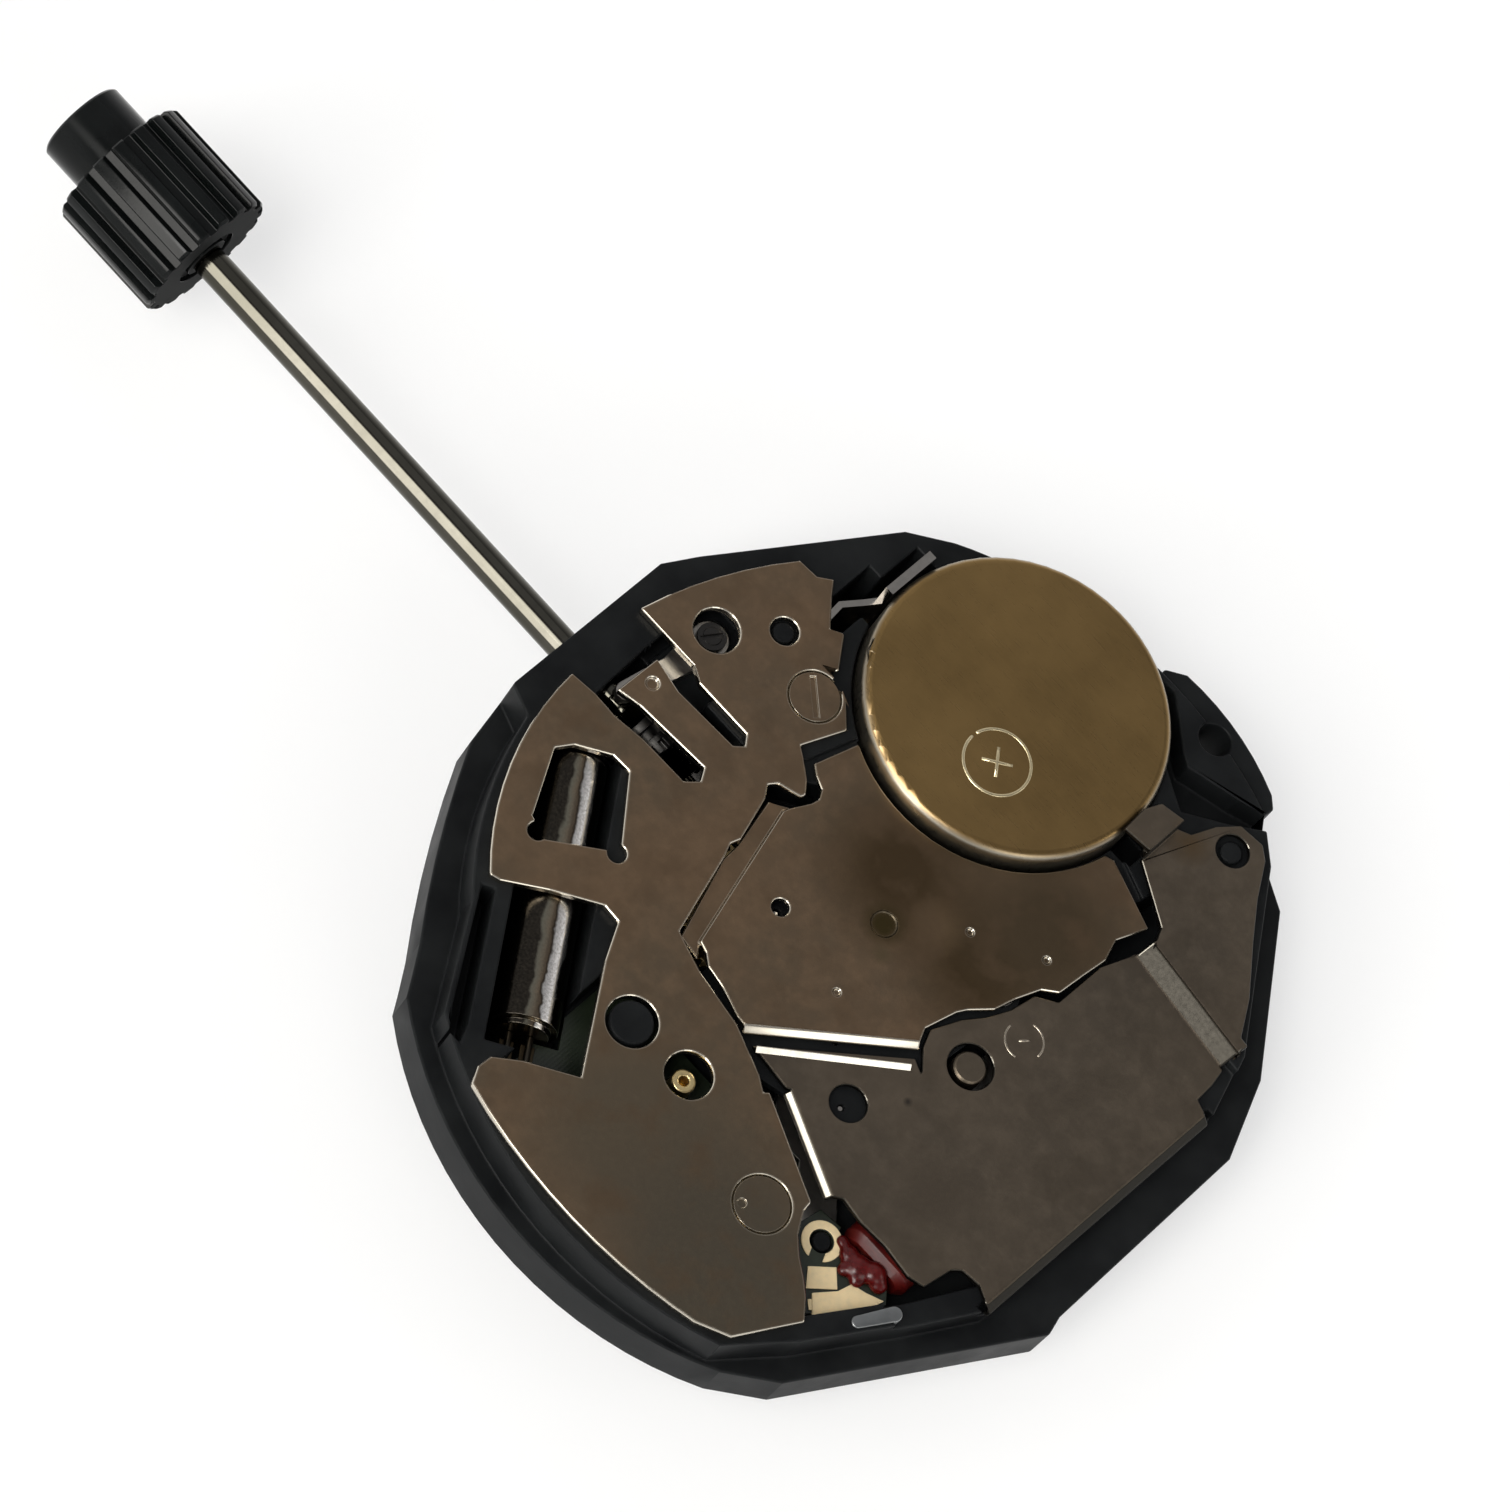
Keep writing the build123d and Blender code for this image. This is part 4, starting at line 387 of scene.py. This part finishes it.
def laminate(name):
    """Dark green circuit laminate with a faint weave."""
    material, tree, shader = new_material(name)
    vector = place(tree)
    clouds = noise(tree, vector, 0.8, 4.0)
    weave = tree.nodes.new("ShaderNodeTexWave")
    weave.inputs["Scale"].default_value = 4.0
    weave.inputs["Distortion"].default_value = 0.6
    tree.links.new(vector, weave.inputs["Vector"])
    toned = mixed(tree, remap(tree, clouds, 0.0, 1.0), (0.006, 0.009, 0.005), (0.014, 0.020, 0.010))
    tree.links.new(toned, shader.inputs["Base Color"])
    tree.links.new(remap(tree, clouds, 0.28, 0.42), shader.inputs["Roughness"])
    bump(tree, shader, weave.outputs["Fac"], 0.12, 0.01)
    return material


cell_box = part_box("battery_can")
cell_centre = (Vector(cell_box[0]) + Vector(cell_box[1])) / 2

brown = (0.205, 0.137, 0.083)
brown_stain = (0.165, 0.122, 0.080)
grey = (0.150, 0.120, 0.088)
grey_stain = (0.120, 0.098, 0.074)
# Pale steel of plate edges and bends: partly unplated metal, partly a painted highlight.
bare_and_glint_steel = (0.62, 0.57, 0.48)
# Faces of the right plate turned this way get a painted highlight, and its other upright faces painted
# shade.
slope_normal = (0.25, 0.57, 0.78)  # of the right plate's sloping edge beside the left plate
brown_marks = [
    (0.26, 6.64, 1.20, 1.60, (0.150, 0.118, 0.080)),
    (-2.70, 7.26, 1.40, 1.80, (0.128, 0.106, 0.076)),
    (0.79, -1.70, 0.60, 1.60, (0.088, 0.058, 0.031)),
    (-1.80, -1.60, 0.60, 1.50, (0.086, 0.057, 0.030)),
    (0.17, -0.61, 0.16, 0.40, (0.060, 0.044, 0.018)),
    (-0.25, -0.10, 0.03, 0.25, (0.140, 0.105, 0.060)),
    (1.76, 0.90, 0.10, 0.10, (0.020, 0.017, 0.014)),
    (-0.60, -1.50, 0.10, 0.60, (0.170, 0.115, 0.065)),
    (-2.14, -3.35, 0.70, 1.60, (0.105, 0.075, 0.045)),
]
dull_rings = [(0.17, -0.61, 0.40, 0.10)]  # the hub dimple's edge
can_turn = 125.4  # direction of the crystal can's axis, degrees
# Painted reflections across the can: dark side, brown bands, a dark line and one bright painted highlight.
can_painted_reflections = [
    (0.00, (0.020, 0.018, 0.015)),
    (0.40, (0.026, 0.023, 0.019)),
    (0.44, (0.190, 0.180, 0.140)),
    (0.55, (0.230, 0.175, 0.120)),
    (0.58, (0.060, 0.045, 0.030)),
    (0.61, (0.950, 0.920, 0.870)),
    (0.78, (0.950, 0.910, 0.880)),
    (0.81, (0.020, 0.018, 0.015)),
]
grey_marks = [
    (-2.70, -7.10, 0.10, 0.50, (0.130, 0.090, 0.052)),
    (-2.83, 1.66, 0.02, 0.10, (0.060, 0.050, 0.042)),
    (-4.60, 2.60, 0.20, 0.90, (0.125, 0.100, 0.074)),
]
looks = {
    "black_plastic": moulded_plastic(
        "black_plastic_look", (0.0045, 0.005, 0.0055), (0.010, 0.011, 0.0115), (0.40, 0.58), 0.25, 0.11
    ),
    "crown_plastic": moulded_plastic(
        "crown_plastic_look", (0.0025, 0.003, 0.003), (0.005, 0.006, 0.006),
        (0.13, 0.19), 0.12, 0.14, matt_side=(-1, 0, 0),
    ),
    "plate_steel": worn_metal("plate_steel_look", (0.42, 0.40, 0.37), (0.33, 0.31, 0.28)),
    # Polished steel in a darkened tone: partly the steel's colour, partly painted shade inside the
    # movement.
    "polished_steel": worn_metal(
        "polished_steel_and_painted_shade_look", (0.34, 0.325, 0.30), (0.27, 0.25, 0.23), (0.16, 0.26)
    ),
    "back_plate_brown": pressed_plate(
        "back_plate_brown_look", brown, brown_stain, bare_and_glint_steel, brown_marks, dull=dull_rings
    ),
    "back_plate_grey": pressed_plate(
        "back_plate_grey_look", grey, grey_stain, bare_and_glint_steel, grey_marks, glint_facing=slope_normal
    ),
    "battery_steel": turned_metal(
        "battery_steel_look", (0.250, 0.160, 0.062), tuple(cell_centre), (0.34, 0.31, 0.25)
    ),
    "brass": worn_metal("brass_look", (0.78, 0.62, 0.32), (0.66, 0.50, 0.24), (0.26, 0.38)),
    "gold": worn_metal("gold_look", (1.00, 0.82, 0.50), (0.90, 0.70, 0.40), (0.34, 0.48), metallic=0.40),
    "can_metal": can_with_painted_reflections("can_metal_painted_reflection_look", can_turn, can_painted_reflections),
    "magnet": worn_metal("magnet_look", (0.16, 0.16, 0.17), (0.11, 0.11, 0.12), (0.35, 0.5)),
    "copper_wire": varnished_wire("copper_wire_look"),
    "board": laminate("board_look"),
    "film": moulded_plastic("film_look", (0.30, 0.25, 0.16), (0.36, 0.31, 0.20)),
    "gasket": moulded_plastic("gasket_look", (0.03, 0.03, 0.03), (0.05, 0.05, 0.05)),
}
node_looks = {
    "winding_stem": worn_metal(
        "stem_look", (0.086, 0.082, 0.069), (0.066, 0.063, 0.051), (0.07, 0.12), (0.3, 6, 6), 0.02
    ),
    "lever_axle": worn_metal("dark_steel_and_painted_shade_look", (0.060, 0.058, 0.055), (0.040, 0.038, 0.036), (0.30, 0.42)),
    "plate_post": worn_metal("post_look", (0.150, 0.122, 0.090), (0.115, 0.094, 0.070), (0.34, 0.46)),
    "crystal_leads": worn_metal("lead_look", (0.070, 0.062, 0.050), (0.045, 0.040, 0.032), (0.34, 0.46)),
    # Pads coloured near black: painted shade of the crystal can's pocket.
    "gold_pads": worn_metal("pad_painted_shade_look", (0.095, 0.070, 0.040), (0.060, 0.046, 0.028), (0.36, 0.50)),
}
# The sliding pinion takes the dark steel look as painted shade inside the movement.
node_looks["sliding_pinion"] = node_looks["lever_axle"]

slot_of = {part["node"]: part["material_slot"] for part in frame["record"]["subparts"]}


def round_edges(piece, width, clamp=True):
    """Small rounding on sharp edges, with flat faces kept flat in shading."""
    bevel = piece.modifiers.new("edges", "BEVEL")
    bevel.width = width * MM
    bevel.segments = 3
    bevel.limit_method = "ANGLE"
    bevel.angle_limit = radians(38)
    bevel.use_clamp_overlap = clamp
    shading = piece.modifiers.new("shading", "WEIGHTED_NORMAL")
    shading.keep_sharp = True
    shading.weight = 100


def finish_node(name):
    """Give a CAD node its look and softened edges."""
    node = nodes[name]
    node.data.materials.clear()
    node.data.materials.append(node_looks.get(name, looks[slot_of[name]]))
    weld = node.modifiers.new("weld", "WELD")
    weld.merge_threshold = 0.0005 * MM
    flat = node.modifiers.new("flat", "DECIMATE")
    flat.decimate_type = "DISSOLVE"
    flat.angle_limit = radians(0.5)
    round_edges(node, edge_rounds.get(name, edge_round), clamp=name not in edge_rounds)


for name in nodes:
    finish_node(name)


# Small trim that rides on the movement


def add_piece(name, sheet, material):
    """Object from a bmesh in millimetres, fixed to the movement."""
    mesh = bpy.data.meshes.new(name)
    bmesh.ops.recalc_face_normals(sheet, faces=sheet.faces)
    sheet.transform(Matrix.Scale(MM, 4))
    sheet.to_mesh(mesh)
    sheet.free()
    mesh.polygons.foreach_set("use_smooth", [True] * len(mesh.polygons))
    piece = bpy.data.objects.new(name, mesh)
    bpy.context.scene.collection.objects.link(piece)
    mesh.materials.append(material)
    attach(piece, "movement")
    return piece


def stroke(sheet, points, z, width, height):
    """Low ridge with a rounded back along a line of (x, y) points."""
    rows = []
    for i, (x, y) in enumerate(points):
        before = Vector(points[max(i - 1, 0)])
        after = Vector(points[min(i + 1, len(points) - 1)])
        along = (after - before).normalized()
        side = Vector((-along.y, along.x))
        row = []
        for across, up in ((-1, -0.6), (-0.8, 0.45), (0, 1), (0.8, 0.45), (1, -0.6)):
            spot_at = Vector((x, y)) + side * across * width / 2
            row.append(sheet.verts.new((spot_at.x, spot_at.y, z + up * height)))
        rows.append(row)
    for one, two in zip(rows, rows[1:]):
        for k in range(4):
            sheet.faces.new((one[k], one[k + 1], two[k + 1], two[k]))
        sheet.faces.new((one[4], one[0], two[0], two[4]))
    sheet.faces.new(rows[0])
    sheet.faces.new(rows[-1])


def arc(x, y, radius, start, end, steps):
    """Points round part of a circle, angles in degrees."""
    turns = [radians(start + (end - start) * i / steps) for i in range(steps + 1)]
    return [(x + radius * cos(turn), y + radius * sin(turn)) for turn in turns]


battery_x = cell_centre.x * 1000
battery_y = cell_centre.y * 1000
battery_top = cell_box[1][2] * 1000
lower_field = 2.00  # top of the right back plate's lower field
inner_edge = 2.10  # top of the main plate's inner edge beside the coil's window
tab_foot = 1.84
board_top = 1.51  # top of the terminal board
photo_right = 232.0  # direction on the part that runs to the right in the photograph, degrees
mark_look = worn_metal("mark_look", (0.74, 0.64, 0.42), (0.60, 0.50, 0.30), (0.26, 0.36))
punch_look = worn_metal("punch_look", (0.46, 0.40, 0.32), (0.36, 0.31, 0.25), (0.20, 0.30))


def add_battery_marks():
    """Plus sign inside a ring on the battery's back."""
    sheet = bmesh.new()
    x = battery_x - 0.59
    y = battery_y + 1.31
    stroke(sheet, arc(x, y, 0.74, 0, 352, 52), battery_top, 0.075, 0.014)
    lean = radians(38)
    for turn in (lean, lean + pi / 2):
        ends = [(x + 0.34 * k * cos(turn), y + 0.34 * k * sin(turn)) for k in (-1, -0.3, 0.3, 1)]
        stroke(sheet, ends, battery_top, 0.08, 0.014)
    add_piece("battery_plus_mark", sheet, mark_look)


def add_minus_mark():
    """Minus sign between two brackets on the right back plate."""
    sheet = bmesh.new()
    x, y = -3.47, -1.25
    across = photo_right
    stroke(sheet, arc(x, y, 0.42, across - 55, across + 55, 14), lower_field, 0.05, 0.010)
    stroke(sheet, arc(x, y, 0.42, across + 125, across + 235, 14), lower_field, 0.05, 0.010)
    turn = radians(across)
    ends = [(x + 0.12 * k * cos(turn), y + 0.12 * k * sin(turn)) for k in (-1, 0, 1)]
    stroke(sheet, ends, lower_field, 0.055, 0.010)
    add_piece("minus_mark", sheet, punch_look)


def add_folded_lip():
    """Folded lip of the right back plate, along the centre plate's fold, in pale steel that is partly plain
    metal and partly a painted highlight.
    """
    sheet = bmesh.new()
    line = [(-0.02, 3.39), (-2.34, 1.09)]
    across = (0.714, -0.700)
    profile = ((0.07, -0.01), (0.045, 0.075), (0.025, 0.085), (-0.075, 0.004), (-0.075, -0.01))
    rows = []
    for x, y in line:
        places = [(x + across[0] * a, y + across[1] * a, lower_field + up) for a, up in profile]
        rows.append([sheet.verts.new(place) for place in places])
    for k in range(5):
        sheet.faces.new((rows[0][k], rows[0][(k + 1) % 5], rows[1][(k + 1) % 5], rows[1][k]))
    sheet.faces.new(rows[0])
    sheet.faces.new(rows[1])
    # Pale steel: partly plain metal, partly a painted highlight.
    look = worn_metal("lip_pale_steel_and_glint_look", (0.66, 0.62, 0.54), (0.52, 0.48, 0.42), (0.22, 0.32))
    piece = add_piece("folded_lip", sheet, look)
    piece.modifiers.new("crisp", "EDGE_SPLIT")


def slab(sheet, outline, low, high):
    """Flat plate over an outline of (x, y) points."""
    rings = [[sheet.verts.new((x, y, z)) for x, y in outline] for z in (low, high)]
    for k in range(len(outline)):
        after = (k + 1) % len(outline)
        sheet.faces.new((rings[0][k], rings[0][after], rings[1][after], rings[1][k]))
    for ring in rings:
        sheet.faces.new(ring)


def add_crisp(name, sheet, material, rounding):
    """Flat piece with rounded edges and crisp faces."""
    round_edges(add_piece(name, sheet, material), rounding)


def add_core_tab():
    """Rounded tinned tab of the coil core, on the main plate's inner edge."""
    sheet = bmesh.new()
    far, near = (-5.41, 5.86), (-5.79, 5.14)
    along = degrees(atan2(near[1] - far[1], near[0] - far[0]))
    outline = arc(*near, 0.16, along - 90, along + 90, 10) + arc(*far, 0.13, along + 90, along + 270, 10)
    slab(sheet, outline, tab_foot, inner_edge + 0.035)
    look = worn_metal("tab_look", (0.30, 0.31, 0.31), (0.22, 0.23, 0.23), (0.30, 0.42))
    add_crisp("core_tab", sheet, look, 0.025)


def add_terminal_foil():
    """Gold foil of the coil terminals, between the pads."""
    sheet = bmesh.new()
    outline = [
        (-4.37, 5.89), (-4.69, 5.44), (-4.77, 5.11), (-5.09, 5.01),
        (-5.45, 4.84), (-5.39, 5.14), (-5.07, 5.62), (-4.70, 6.22),
    ]
    slab(sheet, outline, board_top - 0.01, board_top + 0.042)
    add_crisp("terminal_foil", sheet, looks["gold"], 0.010)


def add_varnish():
    """Drop of red varnish over the ends of the coil wire."""
    sheet = bmesh.new()
    lumps = [
        (-4.62, 4.78, 1.56, 0.30), (-4.30, 4.72, 1.55, 0.22), (-4.92, 4.62, 1.60, 0.27),
        (-4.45, 5.02, 1.54, 0.16), (-5.14, 4.70, 1.56, 0.20), (-4.02, 4.62, 1.54, 0.15),
        (-4.78, 4.98, 1.54, 0.17),
    ]
    for x, y, z, radius in lumps:
        ball = bmesh.ops.create_icosphere(sheet, subdivisions=3, radius=radius)
        bmesh.ops.scale(sheet, verts=ball["verts"], vec=(1, 1, 0.72))
        bmesh.ops.translate(sheet, verts=ball["verts"], vec=(x, y, z))
    look = varnish("varnish_look")
    piece = add_piece("coil_varnish", sheet, look)
    joined = piece.modifiers.new("joined", "REMESH")
    joined.mode = "VOXEL"
    joined.voxel_size = 0.03 * MM
    joined.use_smooth_shade = True
    eased = piece.modifiers.new("eased", "SMOOTH")
    eased.factor = 0.8
    eased.iterations = 14


add_battery_marks()
add_minus_mark()
add_varnish()
add_folded_lip()
add_core_tab()
add_terminal_foil()


# Floor, light and camera


def lighten_floor(tree, shader):
    """Half of the floor's tone is plain white as seen directly, in metal and through clear things."""
    rays = tree.nodes.new("ShaderNodeLightPath")
    seen = rays.outputs["Is Camera Ray"]
    for kind in ("Is Glossy Ray", "Is Transmission Ray"):
        seen = combine(tree, "MAXIMUM", seen, rays.outputs[kind])
    white = tree.nodes.new("ShaderNodeEmission")
    white.inputs["Strength"].default_value = 1.0
    joined = tree.nodes.new("ShaderNodeMixShader")
    tree.links.new(remap(tree, seen, 0.0, 0.5, 0.0, 1.0), joined.inputs["Fac"])
    tree.links.new(shader.outputs["BSDF"], joined.inputs[1])
    tree.links.new(white.outputs["Emission"], joined.inputs[2])
    tree.links.new(joined.outputs["Shader"], tree.nodes["Material Output"].inputs["Surface"])


def add_floor():
    """Pale floor just under the hand seats."""
    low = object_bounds()[0][2] - floor_drop
    mesh = bpy.data.meshes.new("floor")
    sheet = bmesh.new()
    half = 0.6
    corners = ((-half, -half), (half, -half), (half, half), (-half, half))
    sheet.faces.new([sheet.verts.new((x, y, low)) for x, y in corners])
    sheet.to_mesh(mesh)
    sheet.free()
    floor = bpy.data.objects.new("floor", mesh)
    bpy.context.scene.collection.objects.link(floor)
    material, tree, shader = new_material("floor_look")
    clouds = noise(tree, place(tree), 0.02, 2.0)
    tone = mixed(tree, remap(tree, clouds, 0.0, 1.0), (0.93, 0.93, 0.93), (0.96, 0.96, 0.96))
    tree.links.new(tone, shader.inputs["Base Color"])
    shader.inputs["Roughness"].default_value = 0.9
    lighten_floor(tree, shader)
    mesh.materials.append(material)


key_direction = (-0.02, 0.62, 0.785)
key_light = (0.45, 14)  # strength and angle
fill_direction = (0.5, -0.3, 0.9)
fill_light = (0.2, 60)
sky_stops = [
    (0.0, (1.0, 1.0, 1.0)),
    (0.15, (0.95, 0.95, 0.95)),
    (0.48, (0.50, 0.50, 0.51)),
    (0.72, (0.24, 0.24, 0.25)),
]
strip_side = 0.12
strip_width = (0.10, 0.17)  # from full light to none, to each side
strip_ends = (("Y", 0.30, 0.42), ("Z", 0.10, 0.18))
strip_light = (9.0, 8.8, 8.4)
panels = [
    ((-0.78, 0.35, 0.51), 11, 17, (2.8, 2.8, 2.7)),
    ((0.55, 0.59, 0.59), 9, 15, (3.0, 3.0, 2.9)),
    ((-0.66, -0.46, 0.60), 5, 10, (2.8, 2.75, 2.6)),
]


def add_world():
    """Studio surround: bright near the floor, dim overhead, with a long strip lamp and three panels."""
    world = bpy.data.worlds.new("studio")
    bpy.context.scene.world = world
    world.use_nodes = True
    tree = world.node_tree
    tree.nodes.clear()
    output = tree.nodes.new("ShaderNodeOutputWorld")
    background = tree.nodes.new("ShaderNodeBackground")
    tree.links.new(background.outputs["Background"], output.inputs["Surface"])
    coordinate = tree.nodes.new("ShaderNodeTexCoord")
    split = tree.nodes.new("ShaderNodeSeparateXYZ")
    tree.links.new(coordinate.outputs["Generated"], split.inputs["Vector"])
    sky = ramp(tree, split.outputs["Z"], sky_stops)
    offset = combine(tree, "ABSOLUTE", combine(tree, "SUBTRACT", split.outputs["X"], strip_side))
    strip = remap(tree, offset, 1.0, 0.0, *strip_width)
    for axis, low, high in strip_ends:
        strip = combine(tree, "MULTIPLY", strip, remap(tree, split.outputs[axis], 0.0, 1.0, low, high))
    sky = mixed(tree, strip, sky, strip_light)
    for direction, inner, outer, light in panels:
        dot = tree.nodes.new("ShaderNodeVectorMath")
        dot.operation = "DOT_PRODUCT"
        dot.inputs[1].default_value = Vector(direction).normalized()
        tree.links.new(coordinate.outputs["Generated"], dot.inputs[0])
        glow = remap(tree, dot.outputs["Value"], 0.0, 1.0, cos(radians(outer)), cos(radians(inner)))
        sky = mixed(tree, glow, sky, light)
    tree.links.new(sky, background.inputs["Color"])


def add_sun(name, direction, strength, angle):
    """Soft distant lamp shining from a direction."""
    lamp = bpy.data.lights.new(name, "SUN")
    lamp.energy = strength
    lamp.angle = radians(angle)
    holder = bpy.data.objects.new(name, lamp)
    holder.rotation_mode = "QUATERNION"
    holder.rotation_quaternion = Vector(direction).to_track_quat("Z", "Y")
    bpy.context.scene.collection.objects.link(holder)


def add_camera():
    """Camera at the photograph's viewing angle and roll."""
    camera = bpy.data.cameras.new("camera")
    camera.lens = lens_mm
    camera.sensor_width = 36
    camera.clip_start = 0.005
    camera.clip_end = 5
    holder = bpy.data.objects.new("camera", camera)
    back = toward_camera.normalized()
    right = camera_up.cross(back).normalized()
    up = back.cross(right)
    turn = Matrix((right, up, back)).transposed().to_4x4()
    holder.matrix_world = Matrix.Translation(look_at + camera_distance * back) @ turn
    bpy.context.scene.collection.objects.link(holder)
    bpy.context.scene.camera = holder


add_floor()
add_world()
add_sun("key", key_direction, *key_light)
add_sun("fill", fill_direction, *fill_light)
add_camera()
bpy.context.scene.view_settings.view_transform = "Standard"
